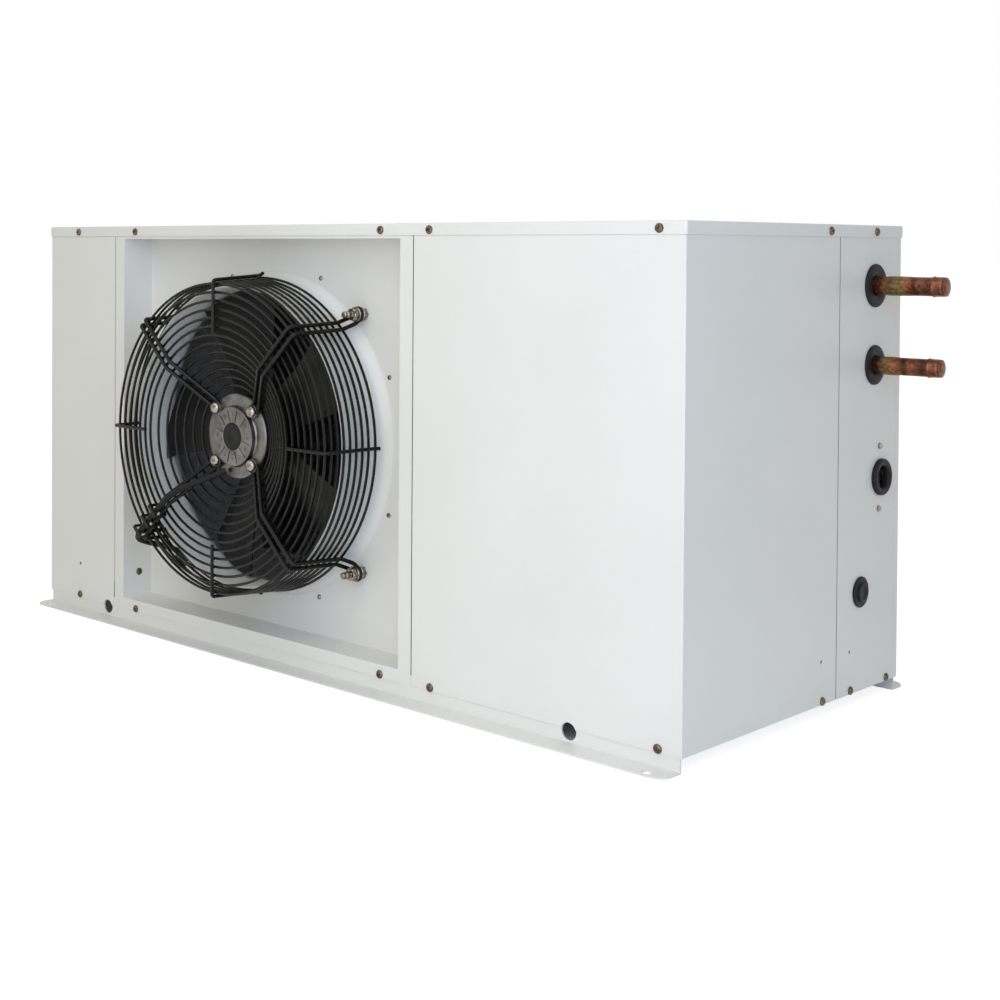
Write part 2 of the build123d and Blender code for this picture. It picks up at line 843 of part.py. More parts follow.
# Fan motor
cable_exit_angle = 252.0
with BuildPart() as motor_flange:
    collar(flange_disc_r, flange_disc_front, flange_front)
    collar(motor_flange_r, flange_front, flange_front + flange_thickness)
    collar(sleeve_r, flange_front, sleeve_end)
    collar(cap_r, flange_disc_front, bearing_front, mode=Mode.SUBTRACT)
    collar(bearing_r, bearing_front, sleeve_end, mode=Mode.SUBTRACT)
    for angle in arm_angles:
        x, y, z = around(hub_screw_circle, angle, flange_front)
        pin_y(motor_screw_r + screw_fit, x, y - past, front_y + motor_screw_end,
              z, Mode.SUBTRACT)
motor_flange.part.label = "motor_flange"
export_step(motor_flange.part, "parts/motor_flange.step")

with BuildPart() as motor_cap:
    collar(cap_r, flange_disc_front, bearing_front)
motor_cap.part.label = "motor_cap"
export_step(motor_cap.part, "parts/motor_cap.step")

with BuildPart() as motor_stator:
    collar(stator_r, stator_front, stator_end, sleeve_r)
motor_stator.part.label = "motor_stator"
export_step(motor_stator.part, "parts/motor_stator.step")

with BuildPart() as motor_bearings:
    for start in (bearing_front, bearing_rear):
        collar(bearing_r, start, start + bearing_width)
        rod_y(shaft_r + shaft_fit, fan_x, front_y + start,
              front_y + start + bearing_width, fan_z, Mode.SUBTRACT)
motor_bearings.part.label = "motor_bearings"
export_step(motor_bearings.part, "parts/motor_bearings.step")

with BuildPart() as rotor_can:
    collar(can_r, can_front, can_end)
    collar(can_r - can_wall, can_front, can_end - can_wall,
           mode=Mode.SUBTRACT)
    rod_y(shaft_r, fan_x, front_y + can_end - can_wall,
          front_y + can_end, fan_z, Mode.SUBTRACT)
rotor_can.part.label = "rotor_can"
export_step(rotor_can.part, "parts/rotor_can.step")

with BuildPart() as rotor_shaft:
    rod_y(shaft_r, fan_x, front_y + bearing_front + 0.5,
          front_y + can_end, fan_z)
rotor_shaft.part.label = "rotor_shaft"
export_step(rotor_shaft.part, "parts/rotor_shaft.step")

# Each blade is a pitched plate whose tip is swept clockwise. Its trailing
# edge faces forwards and its leading edge lies deeper in the nozzle.
blade_lead_root = 26.0
blade_trail_root = -30.0
blade_lead_tip = 76.0
blade_trail_tip = -50.0
blade_root_r = 44.0
blade_middle = (blade_front + blade_back) / 2
blade_mid_r = (blade_root_r + blade_tip_r) / 2
tip_steps = 6


def blade_rim(chord):
    """Distance out to the tip circle at a place along the chord."""
    level = chord * cos(radians(blade_pitch))
    return sqrt(blade_tip_r**2 - level**2)


with BuildPart() as one_blade:
    turn = radians(blade_turn)
    tilt = radians(blade_pitch)
    outward = Vector(cos(turn), 0, sin(turn))
    clockwise = Vector(sin(turn), 0, -cos(turn))
    chord_dir = clockwise * cos(tilt) + Vector(0, 1, 0) * sin(tilt)
    plate = Plane(
        origin=around(0, 0, blade_middle),
        x_dir=outward, z_dir=outward.cross(chord_dir),
    )
    rim = []
    for k in range(tip_steps + 1):
        share = k / tip_steps
        chord = blade_trail_tip + share * (blade_lead_tip - blade_trail_tip)
        rim.append((blade_rim(chord), chord))
    outline = [(blade_root_r, blade_trail_root)]
    outline.append((blade_mid_r, blade_trail_tip * 0.86))
    outline += rim
    outline.append((blade_mid_r, blade_lead_tip * 0.46))
    outline.append((blade_root_r, blade_lead_root))
    with BuildSketch(plate):
        with BuildLine():
            Polyline(*outline, close=True)
        make_face()
    extrude(amount=blade_thickness / 2, both=True)
with BuildPart() as fan_blades:
    for k in range(blade_count):
        add(one_blade.part.rotate(fan_axis, 360 / blade_count * k))
    collar(can_r, can_front, can_end, mode=Mode.SUBTRACT)
fan_blades.part.label = "fan_blades"
export_step(fan_blades.part, "parts/fan_blades.step")

head_seat = arm_hub - arm_wire / 2 - weld_gap
with BuildPart() as motor_screws:
    for angle in arm_angles:
        x, y, z = around(hub_screw_circle, angle, head_seat)
        pin_y(motor_screw_r, x, y, front_y + motor_screw_end, z)
        pin_y(dome_r, x, y - dome_height / 2, y, z, sides=middle_sides)
        pin_y(dome_r * 0.7, x, y - dome_height, y - dome_height / 2, z)
motor_screws.part.label = "motor_screws"
export_step(motor_screws.part, "parts/motor_screws.step")

# Motor cable
cable_angle = 225
box_port_x = divider_x + sheet + box_depth / 2
cable_route = (
    around(44.0, cable_exit_angle, flange_front - cable_r - 0.3),
    around(60.0, 240, -38.0),
    around(92.0, 226, arm_rel(92.0) - 11.5),
    around(128.0, cable_angle, cable_front),
    around(186.5, cable_angle, cable_front - 2.0),
    around(200.0, cable_angle, -40.0),
    around(202.0, 228, -8.0),
    around(208.0, 230.5, 12.0),
    around(232.0, 229.5, 20.0),
    (grommet_x, front_y + 26.0, grommet_z),
    (grommet_x, front_y + 68.0, grommet_z),
    (grommet_x + 10.0, lane_y, cable_lane + 14.0),
    (grommet_x + 60.0, lane_y + 1.0, cable_lane),
    (grommet_x + 120.0, lane_y - 1.0, cable_lane),
    (grommet_x + 180.0, lane_y + 1.0, cable_lane),
    (grommet_x + 240.0, lane_y - 1.0, cable_lane),
    (grommet_x + 300.0, lane_y + 1.0, cable_lane),
    (grommet_x + 360.0, lane_y - 1.0, cable_lane),
    (box_port_x - 60.0, lane_y, cable_lane),
    (box_port_x, lane_y - 1.0, cable_lane + 1.0),
    (box_port_x + 1.0, lane_y, cable_lane + 61.0),
    (box_port_x, lane_y + 1.0, box_bottom - 45.0),
    (box_port_x, lane_y, box_bottom - 0.3),
)


def cable_tube(points, radius):
    """Round cord along runs joined by the largest arcs they allow."""
    points = [Vector(*p) for p in points]
    runs = [(b - a).length for a, b in zip(points, points[1:])]
    here = points[0]
    with BuildLine() as path:
        for k in range(1, len(points) - 1):
            ahead = (points[k + 1] - points[k]).normalized()
            behind = (points[k] - points[k - 1]).normalized()
            cut = 0.45 * min(runs[k - 1], runs[k])
            start = points[k] - behind * cut
            stop = points[k] + ahead * cut
            Line(here, start)
            TangentArc(start, stop, tangent=behind)
            here = stop
        Line(here, points[-1])
    with BuildSketch(path.line ^ 0) as section:
        RegularPolygon(radius, 8)
    sweep(section.sketch, path=path.line)


with BuildPart() as motor_cable:
    cable_tube(cable_route, cable_r)
motor_cable.part.label = "motor_cable"
export_step(motor_cable.part, "parts/motor_cable.step")

with BuildPart() as cable_grommet:
    sleeve = cable_r + 1.6
    pin_y(grommet_r + grommet_flange, grommet_x,
          front_y + recess_depth - grommet_flange, front_y + recess_depth,
          grommet_z, sides=smooth_sides)
    pin_y(grommet_r, grommet_x, front_y + recess_depth,
          front_y + panel_back, grommet_z, sides=smooth_sides)
    pin_y(grommet_r + grommet_flange, grommet_x, front_y + panel_back,
          front_y + panel_back + grommet_flange, grommet_z, sides=smooth_sides)
    pin_y(sleeve, grommet_x, front_y, front_y + panel_back + 10, grommet_z,
          Mode.SUBTRACT)
cable_grommet.part.label = "cable_grommet"
export_step(cable_grommet.part, "parts/cable_grommet.step")

tie_spots = (134.4, 154.4, 174.4)
tie_inner_x = arm_offset + arm_wire / 2 + 0.3
tie_inner_front = cable_front - cable_r - 1.9
tie_inner_back = guard_front + arm_wire / 2 + 0.3


def cable_tie(radius):
    """Band that holds the cable to the lower left arm."""
    middle = (tie_inner_front + tie_inner_back) / 2
    deep = tie_inner_back - tie_inner_front
    a = radians(cable_angle)
    band = Plane(
        origin=around(radius, cable_angle, middle),
        x_dir=(0, 1, 0), z_dir=(cos(a), 0, sin(a)),
    )
    with BuildSketch(band) as loop:
        Rectangle(deep + 2 * tie_thickness, 2 * (tie_inner_x + tie_thickness))
        Rectangle(deep, 2 * tie_inner_x, mode=Mode.SUBTRACT)
    extrude(loop.sketch, amount=tie_width / 2, both=True)


with BuildPart() as cable_ties:
    for spot in tie_spots:
        cable_tie(spot)
cable_ties.part.label = "cable_ties"
export_step(cable_ties.part, "parts/cable_ties.step")

# Compressor on its rubber mounts
mount_spots = [
    (comp_x + sx * mount_spot, comp_y + sy * mount_spot)
    for sx in (-1, 1)
    for sy in (-1, 1)
]
plate_bottom = comp_bottom - comp_plate
with BuildPart() as compressor_shell:
    drum(comp_x, comp_y, comp_r - comp_dome / 2, comp_bottom,
         comp_bottom + comp_dome)
    drum(comp_x, comp_y, comp_r, comp_bottom + comp_dome,
         comp_top - comp_dome)
    drum(comp_x, comp_y, comp_r - comp_dome / 2, comp_top - comp_dome,
         comp_top - comp_dome / 3)
    drum(comp_x, comp_y, comp_r - 2 * comp_dome, comp_top - comp_dome / 3,
         comp_top)
compressor_shell.part.label = "compressor_shell"
export_step(compressor_shell.part, "parts/compressor_shell.step")

with BuildPart() as compressor_base:
    half_plate = comp_plate_size / 2
    slab(comp_x - half_plate, comp_x + half_plate, comp_y - half_plate,
         comp_y + half_plate, plate_bottom, comp_bottom)
    for x, y in mount_spots:
        drum(x, y, mount_hole_r, plate_bottom, comp_bottom,
             Mode.SUBTRACT, plain_sides)
compressor_base.part.label = "compressor_base"
export_step(compressor_base.part, "parts/compressor_base.step")

with BuildPart() as compressor_mounts:
    for x, y in mount_spots:
        drum(x, y, mount_r, pan_top, plate_bottom, sides=middle_sides)
        drum(x, y, mount_hole_r, pan_top, plate_bottom, Mode.SUBTRACT, plain_sides)
compressor_mounts.part.label = "compressor_mounts"
export_step(compressor_mounts.part, "parts/compressor_mounts.step")

with BuildPart() as compressor_bolts:
    for x, y in mount_spots:
        drum(x, y, mount_bolt_r, pan_top, comp_bottom, sides=plain_sides)
        drum(x, y, nut_width / 2, comp_bottom, comp_bottom + nut_height,
             sides=6)
compressor_bolts.part.label = "compressor_bolts"
export_step(compressor_bolts.part, "parts/compressor_bolts.step")

terminal_width = 60.0
terminal_bottom = 210.0
terminal_top = 290.0
terminal_reach = 22.0
with BuildPart() as terminal_box:
    slab(comp_x - terminal_width / 2, comp_x + terminal_width / 2,
         comp_y - comp_r - terminal_reach, comp_y - comp_r + comp_dome,
         terminal_bottom, terminal_top)
    drum(comp_x, comp_y, comp_r, terminal_bottom - past, terminal_top + past,
         Mode.SUBTRACT)
terminal_box.part.label = "terminal_box"
export_step(terminal_box.part, "parts/terminal_box.step")

# Liquid receiver with its service valve
receiver_dome = 14.0
with BuildPart() as receiver:
    drum(receiver_x, receiver_y, receiver_r - receiver_dome,
         receiver_bottom, receiver_top)
    drum(receiver_x, receiver_y, receiver_r,
         receiver_bottom + receiver_dome, receiver_top - receiver_dome)
receiver.part.label = "receiver"
export_step(receiver.part, "parts/receiver.step")

stand_r = receiver_r - receiver_dome
stand_sheet = 2.0
with BuildPart() as receiver_stand:
    drum(receiver_x, receiver_y, stand_r, pan_top, receiver_bottom)
    drum(receiver_x, receiver_y, stand_r - stand_sheet, pan_top,
         receiver_bottom, Mode.SUBTRACT)
receiver_stand.part.label = "receiver_stand"
export_step(receiver_stand.part, "parts/receiver_stand.step")

valve_top = receiver_top + valve_height
valve_cap_r = 9.0
valve_cap_height = 16.0
with BuildPart() as receiver_valve:
    half_valve = valve_size / 2
    slab(receiver_x - half_valve, receiver_x + half_valve,
         receiver_y - half_valve, receiver_y + half_valve,
         receiver_top, valve_top)
    rod_z(valve_cap_r, receiver_x, receiver_y, valve_top,
          valve_top + valve_cap_height)
receiver_valve.part.label = "receiver_valve"
export_step(receiver_valve.part, "parts/receiver_valve.step")

# Filter drier and sight glass on the liquid riser
drier_cone = 12.0
with BuildPart() as filter_drier:
    drum(riser_x, sight_y, drier_spigot_r, drier_low_end, drier_high_end)
    drum(riser_x, sight_y, drier_r - drier_cone / 2, drier_bottom,
         drier_top)
    drum(riser_x, sight_y, drier_r, drier_bottom + drier_cone,
         drier_top - drier_cone)
filter_drier.part.label = "filter_drier"
export_step(filter_drier.part, "parts/filter_drier.step")

with BuildPart() as sight_glass:
    drum(riser_x, sight_y, sight_body_r, drier_high_end, sight_body_top)
    pin_x(sight_barrel_r, riser_x, sight_barrel_end, sight_y, sight_z,
          sides=round_sides)
    pin_x(window_r, sight_barrel_end - window_thickness,
          sight_barrel_end + past, sight_y, sight_z, Mode.SUBTRACT, round_sides)
sight_glass.part.label = "sight_glass"
export_step(sight_glass.part, "parts/sight_glass.step")

with BuildPart() as sight_window:
    pin_x(window_r, sight_barrel_end - window_thickness, sight_barrel_end,
          sight_y, sight_z, sides=round_sides)
sight_window.part.label = "sight_window"
export_step(sight_window.part, "parts/sight_window.step")

# Pipework
run_up_z = 440.0
comp_side = comp_x + comp_r
suction_drop_x = 440.0
with BuildPart() as suction_line:
    wire_along((
        (stub_start, suction_y, suction_z),
        (suction_drop_x, suction_y, suction_z),
        (suction_drop_x, comp_y, suction_z),
        (suction_drop_x, comp_y, 300.0),
        (comp_side, comp_y, 300.0),
    ), 2 * suction_r)
suction_line.part.label = "suction_line"
export_step(suction_line.part, "parts/suction_line.step")

with BuildPart() as liquid_line_upper:
    wire_along((
        (riser_x, sight_y, sight_body_top),
        (riser_x, sight_y, 296.0),
        (riser_x, liquid_y, 322.0),
        (riser_x, liquid_y, liquid_z),
        (stub_start, liquid_y, liquid_z),
    ), 2 * liquid_r)
liquid_line_upper.part.label = "liquid_line_upper"
export_step(liquid_line_upper.part, "parts/liquid_line_upper.step")

crossing_x = 400.0
crossing_z = 52.0
with BuildPart() as liquid_line_lower:
    wire_along((
        (receiver_x + valve_size / 2, receiver_y, receiver_top + 16.0),
        (crossing_x, receiver_y, receiver_top + 16.0),
        (crossing_x, receiver_y, crossing_z),
        (riser_x, sight_y, crossing_z),
        (riser_x, sight_y, drier_low_end),
    ), 2 * small_tube_r)
liquid_line_lower.part.label = "liquid_line_lower"
export_step(liquid_line_lower.part, "parts/liquid_line_lower.step")

coil_port_x = coil_right + sheet
manifold_x = coil_port_x + 10.0
discharge_x = comp_x - 20.0


def coil_manifold(z):
    """Short manifold across both tube rows at one end of the coil."""
    pin_y(small_tube_r, manifold_x, coil_row_y[0] - coil_tube_r,
          coil_row_y[1] + coil_tube_r, z)
    for row_y in coil_row_y:
        pin_x(coil_tube_r, coil_port_x, manifold_x, row_y, z)


with BuildPart() as discharge_line:
    wire_along((
        (discharge_x, comp_y, comp_top),
        (discharge_x, comp_y, run_up_z),
        (discharge_x, hot_y, run_up_z),
        (divider_x + 40.0, hot_y, run_up_z),
        (divider_x + 40.0, hot_y, top_tube_z),
        (manifold_x, hot_y, top_tube_z),
    ), 2 * small_tube_r)
    coil_manifold(top_tube_z)
discharge_line.part.label = "discharge_line"
export_step(discharge_line.part, "parts/discharge_line.step")

condensate_z = 90.0
with BuildPart() as condensate_line:
    wire_along((
        (manifold_x, hot_y, low_tube_z),
        (190.0, hot_y, low_tube_z),
        (190.0, receiver_y, condensate_z),
        (receiver_x - receiver_r, receiver_y, condensate_z),
    ), 2 * small_tube_r)
    coil_manifold(low_tube_z)
    drum(receiver_x, receiver_y, receiver_r, receiver_bottom,
         receiver_top, Mode.SUBTRACT)
condensate_line.part.label = "condensate_line"
export_step(condensate_line.part, "parts/condensate_line.step")


def pipe_stub(radius, tip, y, z):
    """Open copper stub that ends inside its cap."""
    stop = tip - cap_wall - 1.0
    rod_x(radius, stub_start, stop, y, z)
    rod_x(radius - tube_wall, stub_start, stop, y, z, Mode.SUBTRACT)


with BuildPart() as suction_stub:
    pipe_stub(suction_r, suction_tip, suction_y, suction_z)
suction_stub.part.label = "suction_stub"
export_step(suction_stub.part, "parts/suction_stub.step")

with BuildPart() as liquid_stub:
    pipe_stub(liquid_r, liquid_tip, liquid_y, liquid_z)
liquid_stub.part.label = "liquid_stub"
export_step(liquid_stub.part, "parts/liquid_stub.step")

cap_round = 3.0
with BuildPart() as stub_caps:
    for radius, tip, y, z in (
        (suction_r, suction_tip, suction_y, suction_z),
        (liquid_r, liquid_tip, liquid_y, liquid_z),
    ):
        outer = radius + cap_wall + grommet_fit
        pin_x(outer, tip - cap_length, tip - cap_round, y, z, sides=round_sides)
        pin_x(outer - cap_round / 2, tip - cap_round, tip, y, z, sides=round_sides)
        rod_x(radius + grommet_fit, tip - cap_length, tip - cap_wall - 1.0,
              y, z, Mode.SUBTRACT)
stub_caps.part.label = "stub_caps"
export_step(stub_caps.part, "parts/stub_caps.step")


def pipe_grommet(radius, bore, y, z, proud):
    """Rubber grommet with a flange on both sides of the panel."""
    pin_x(radius, half_length, half_length + proud, y, z, sides=round_sides)
    pin_x(radius - grommet_bite, inner_x, half_length, y, z, sides=round_sides)
    pin_x(radius, inner_x - grommet_bite, inner_x, y, z, sides=round_sides)
    rod_x(bore, inner_x - grommet_bite - past, half_length + proud + past, y, z,
          Mode.SUBTRACT)


grommet_proud = 3.0
with BuildPart() as suction_grommet:
    pipe_grommet(suction_grommet_r, suction_r + grommet_fit, suction_y,
                 suction_z, grommet_proud)
suction_grommet.part.label = "suction_grommet"
export_step(suction_grommet.part, "parts/suction_grommet.step")

with BuildPart() as liquid_grommet:
    pipe_grommet(liquid_grommet_r, liquid_r + grommet_fit, liquid_y,
                 liquid_z, grommet_proud)
liquid_grommet.part.label = "liquid_grommet"
export_step(liquid_grommet.part, "parts/liquid_grommet.step")

with BuildPart() as sight_grommet:
    pipe_grommet(sight_grommet_r, sight_hole_r, sight_y, sight_z,
                 sight_proud)
sight_grommet.part.label = "sight_grommet"
export_step(sight_grommet.part, "parts/sight_grommet.step")

with BuildPart() as sight_screws:
    for y, z in sight_screw_spots:
        pin_x(sight_screw_head_r, half_length,
              half_length + nozzle_head_height, y, z)
        pin_x(nozzle_screw_r, half_length - screw_length, half_length, y, z)
sight_screws.part.label = "sight_screws"
export_step(sight_screws.part, "parts/sight_screws.step")

plug_step = 2.0
with BuildPart() as blanking_plug:
    pin_x(plug_r, half_length, half_length + plug_step, plug_y, plug_z,
          sides=round_sides)
    pin_x(plug_r * 0.62, half_length + plug_step,
          half_length + sight_proud, plug_y, plug_z, sides=round_sides)
    pin_x(plug_r - grommet_bite, inner_x, half_length, plug_y, plug_z,
          sides=round_sides)
    pin_x(plug_r, inner_x - grommet_bite, inner_x, plug_y, plug_z, sides=round_sides)
blanking_plug.part.label = "blanking_plug"
export_step(blanking_plug.part, "parts/blanking_plug.step")

# Screws
bottom_grip = 0.0
top_grip = lid_gap + sheet
with BuildPart() as cabinet_screws:
    for spots, z, out in (
        (front_bottom_screws, screw_bottom_z, bottom_grip),
        (front_top_screws, screw_top_z, top_grip),
    ):
        face = front_y - out
        for spot in spots:
            pin_y(screw_head_r, spot, face - screw_head_height, face, z)
            pin_y(screw_r, spot, face, face + screw_length, z)
    for spots, z, out in (
        (rear_bottom_screws, screw_bottom_z, bottom_grip),
        (rear_top_screws, screw_top_z, top_grip),
    ):
        face = back_y + out
        for spot in spots:
            pin_y(screw_head_r, spot, face, face + screw_head_height, z)
            pin_y(screw_r, spot, face - screw_length, face, z)
    for side, spots, z, out in (
        (1, right_bottom_screws, screw_bottom_z, bottom_grip),
        (1, right_top_screws, screw_top_z, top_grip),
        (-1, left_bottom_screws, screw_bottom_z, bottom_grip),
        (-1, left_top_screws, screw_top_z, top_grip),
    ):
        face = side * (half_length + out)
        for spot in spots:
            head = face + side * screw_head_height
            tip = face - side * screw_length
            pin_x(screw_head_r, min(face, head), max(face, head), spot, z)
            pin_x(screw_r, min(face, tip), max(face, tip), spot, z)
    pin_x(screw_head_r, recess_left, recess_left + screw_head_height,
          recess_screw_y, pilot_z)
    pin_x(screw_r, recess_left - screw_length, recess_left,
          recess_screw_y, pilot_z)
cabinet_screws.part.label = "cabinet_screws"
export_step(cabinet_screws.part, "parts/cabinet_screws.step")

with BuildPart() as nozzle_screws:
    for k in range(nozzle_screw_count):
        turn = 360 / nozzle_screw_count * (k + 0.5)
        x, y, z = around(nozzle_screw_circle, turn, recess_depth)
        pin_y(nozzle_head_r, x, y - nozzle_head_height, y, z)
        pin_y(nozzle_screw_r, x, y, y + screw_length, z)
nozzle_screws.part.label = "nozzle_screws"
export_step(nozzle_screws.part, "parts/nozzle_screws.step")

# Electrical box against the divider
box_left = divider_x + sheet
box_right = box_left + box_depth
with BuildPart() as control_box:
    slab(box_left, box_right, box_front, box_back, box_bottom, box_top)
    slab(box_left + sheet, box_right + past, box_front + sheet,
         box_back - sheet, box_bottom + sheet, box_top - sheet,
         Mode.SUBTRACT)
control_box.part.label = "control_box"
export_step(control_box.part, "parts/control_box.step")

with BuildPart() as control_cover:
    slab(box_right, box_right + sheet, box_front, box_back,
         box_bottom, box_top)
control_cover.part.label = "control_cover"
export_step(control_cover.part, "parts/control_cover.step")
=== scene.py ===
# %% [markdown]
# A condensing unit for a cold room: a white painted steel cabinet with an axial
# fan behind a wire guard. The CAD model is loaded as a fixed frame. Every piece
# below is made in metres in that same frame, so nothing has to be fitted later.
# %% Load the frame
import bpy
import bmesh
import json
import math
from mathutils import Matrix, Vector


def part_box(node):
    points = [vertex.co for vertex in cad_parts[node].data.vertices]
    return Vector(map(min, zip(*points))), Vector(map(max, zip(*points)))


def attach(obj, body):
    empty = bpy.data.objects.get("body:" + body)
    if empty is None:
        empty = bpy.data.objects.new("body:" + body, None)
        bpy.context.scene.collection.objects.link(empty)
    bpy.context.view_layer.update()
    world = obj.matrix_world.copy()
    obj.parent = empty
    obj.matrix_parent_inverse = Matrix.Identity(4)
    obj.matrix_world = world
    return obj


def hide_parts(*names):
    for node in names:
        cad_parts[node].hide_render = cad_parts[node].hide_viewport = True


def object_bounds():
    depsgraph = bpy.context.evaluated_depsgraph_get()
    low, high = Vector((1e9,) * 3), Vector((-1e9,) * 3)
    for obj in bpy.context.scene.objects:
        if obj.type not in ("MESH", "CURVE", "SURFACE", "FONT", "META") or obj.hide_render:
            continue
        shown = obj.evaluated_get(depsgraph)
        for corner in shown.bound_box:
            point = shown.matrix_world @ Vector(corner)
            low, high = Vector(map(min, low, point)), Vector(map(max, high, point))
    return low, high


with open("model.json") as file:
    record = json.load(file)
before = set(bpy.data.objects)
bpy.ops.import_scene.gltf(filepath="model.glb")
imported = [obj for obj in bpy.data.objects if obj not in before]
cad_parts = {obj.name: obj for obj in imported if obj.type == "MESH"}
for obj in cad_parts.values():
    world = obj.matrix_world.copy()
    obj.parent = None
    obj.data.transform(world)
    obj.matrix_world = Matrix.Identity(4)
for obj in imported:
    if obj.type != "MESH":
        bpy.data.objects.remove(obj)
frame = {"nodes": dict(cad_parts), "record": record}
cad_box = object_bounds()
print("nodes:", len(frame["nodes"]), "box:", [tuple(round(c, 4) for c in v) for v in cad_box])

# %% [markdown]
# Workshop drawings of sheet metal are in millimetres, and Blender works in metres.
# One factor turns the first into the second. The fan has its own axis, which runs
# from front to back, so a second helper places a point by its distance from that
# axis, its angle, and its depth behind the cabinet's front face.
# %% Millimetres and the fan axis
MM = 0.001
hub_x, front_y, hub_z = -99.0, -213.0, 261.2


def spot(x, y, z):
    """A point given in millimetres."""
    return Vector((x, y, z)) * MM


def around(radius, angle, depth, side=0.0):
    """A point about the fan axis: radius, angle in degrees, depth behind the front."""
    turn = math.radians(angle)
    x = hub_x + radius * math.cos(turn) - side * math.sin(turn)
    z = hub_z + radius * math.sin(turn) + side * math.cos(turn)
    return spot(x, front_y + depth, z)


print("guard centre:", tuple(around(0, 0, 0)))

# %% [markdown]
# The camera stands to the right of the unit and a little below its lid, so the
# right side and the front are both seen and the lid is seen edge on. The picture
# was cut from a larger one, so the lens axis isn't in its middle: the camera's
# shift puts it back without bending the verticals.
# %% Camera
picture = 1000
focal = 1602.0
axis_px = (268.8, 275.2)
yaw, pitch, roll = 0.8184, -0.01665, -0.004561

camera = bpy.data.objects.new("camera", bpy.data.cameras.new("camera"))
bpy.context.scene.collection.objects.link(camera)
turned_by = (
    Matrix.Rotation(yaw, 3, "Z") @ Matrix.Rotation(pitch, 3, "X") @ Matrix.Rotation(roll, 3, "Y")
)
right, ahead, up = (turned_by.col[i] for i in range(3))
stand = Matrix((right, up, -ahead)).transposed().to_4x4()
stand.translation = spot(1302, -1490, 482.3)
camera.matrix_world = stand
camera.data.sensor_width = 36.0
camera.data.lens = focal / picture * camera.data.sensor_width
camera.data.shift_x = 0.5 - axis_px[0] / picture
camera.data.shift_y = axis_px[1] / picture - 0.5
camera.data.clip_start = 0.05
camera.data.clip_end = 60.0
bpy.context.scene.camera = camera
print("lens:", round(camera.data.lens, 2), "shift:", camera.data.shift_x, camera.data.shift_y)

# %% [markdown]
# A material's colour is written as a value out of 255, the way a paint card gives
# it, and turned into the linear numbers that a shader wants. Every finish starts
# from the same three things: a material, its shader, and the Object coordinates
# that its pattern reads, so a pattern stays on the piece when the piece moves.
# %% Paint cards and patterns
def paint(r, g, b):
    """A colour from a paint card, as linear red, green, blue and alpha."""
    def one(c):
        c = c / 255
        return c / 12.92 if c <= 0.04045 else ((c + 0.055) / 1.055) ** 2.4
    return (one(r), one(g), one(b), 1.0)


def step(tree, kind, into=None, **settings):
    """One node; into gives each input either a value or the socket that feeds it."""
    made = tree.nodes.new(kind)
    for key, value in settings.items():
        setattr(made, key, value)
    for socket, value in (into or {}).items():
        if isinstance(value, bpy.types.NodeSocket):
            tree.links.new(value, made.inputs[socket])
        else:
            made.inputs[socket].default_value = value
    return made


def finish(name, rough, metal=0.0, gloss=0.5):
    """A material, its node tree, its shader and its Object coordinates."""
    material = bpy.data.materials.new(name)
    material.use_nodes = True
    tree = material.node_tree
    shader = tree.nodes["Principled BSDF"]
    shader.inputs["Roughness"].default_value = rough
    shader.inputs["Metallic"].default_value = metal
    shader.inputs["Specular IOR Level"].default_value = gloss
    return material, tree, shader, step(tree, "ShaderNodeTexCoord").outputs["Object"]


def grain(tree, place, size, detail=3.0):
    """Noise whose patches are about size millimetres across."""
    noise = step(tree, "ShaderNodeTexNoise", {
        "Vector": place, "Scale": 1 / (size * MM), "Detail": detail,
    })
    return noise.outputs["Fac"]


def shades(tree, value, *stops):
    """A colour ramp over a value; each stop is a place and a colour."""
    ramp = step(tree, "ShaderNodeValToRGB", {"Fac": value})
    band = ramp.color_ramp
    while len(band.elements) < len(stops):
        band.elements.new(0.5)
    for element, (at, colour) in zip(band.elements, stops):
        element.position = at
        element.color = colour
    return ramp.outputs["Color"]


def relief(tree, shader, value, height, more=None):
    """Bumps of a height in millimetres, on top of an earlier relief if one is given."""
    bump = step(tree, "ShaderNodeBump", {
        "Height": value, "Distance": height * MM, "Strength": 1.0,
    })
    if more is not None:
        tree.links.new(more, bump.inputs["Normal"])
    tree.links.new(bump.outputs["Normal"], shader.inputs["Normal"])
    return bump.outputs["Normal"]


def roughness(tree, shader, value, low, high):
    """Roughness that wanders between two values with a pattern."""
    span = step(tree, "ShaderNodeMapRange", {
        "Value": value, "From Min": 0.3, "From Max": 0.7, "To Min": low, "To Max": high,
    })
    tree.links.new(span.outputs["Result"], shader.inputs["Roughness"])


print("white on the card is", [round(c, 3) for c in paint(236, 236, 233)])

# %% [markdown]
# The cabinet is steel with a baked powder coat. Up close such paint isn't flat: it
# has the pebbled skin called orange peel, about a millimetre and a half across and
# some hundredths deep. That could be painted as a picture, but two noises, one for
# the peel and one for a slow drift of colour, do it at any distance.
# %% White powder coat
def powder_coat(name, thin, thick):
    """Baked powder paint with orange peel."""
    material, tree, shader, place = finish(name, 0.42, gloss=0.42)
    drift = grain(tree, place, 160, detail=2)
    colour = shades(tree, drift, (0.3, thin), (0.7, thick))
    tree.links.new(colour, shader.inputs["Base Color"])
    peel = grain(tree, place, 2.6, detail=1.5)
    roughness(tree, shader, peel, 0.36, 0.5)
    first = relief(tree, shader, peel, 0.22)
    relief(tree, shader, grain(tree, place, 0.9, detail=1), 0.05, more=first)
    return material


white_paint = powder_coat("white powder coat", paint(230, 230, 227), paint(234, 234, 231))
print("made", white_paint.name)

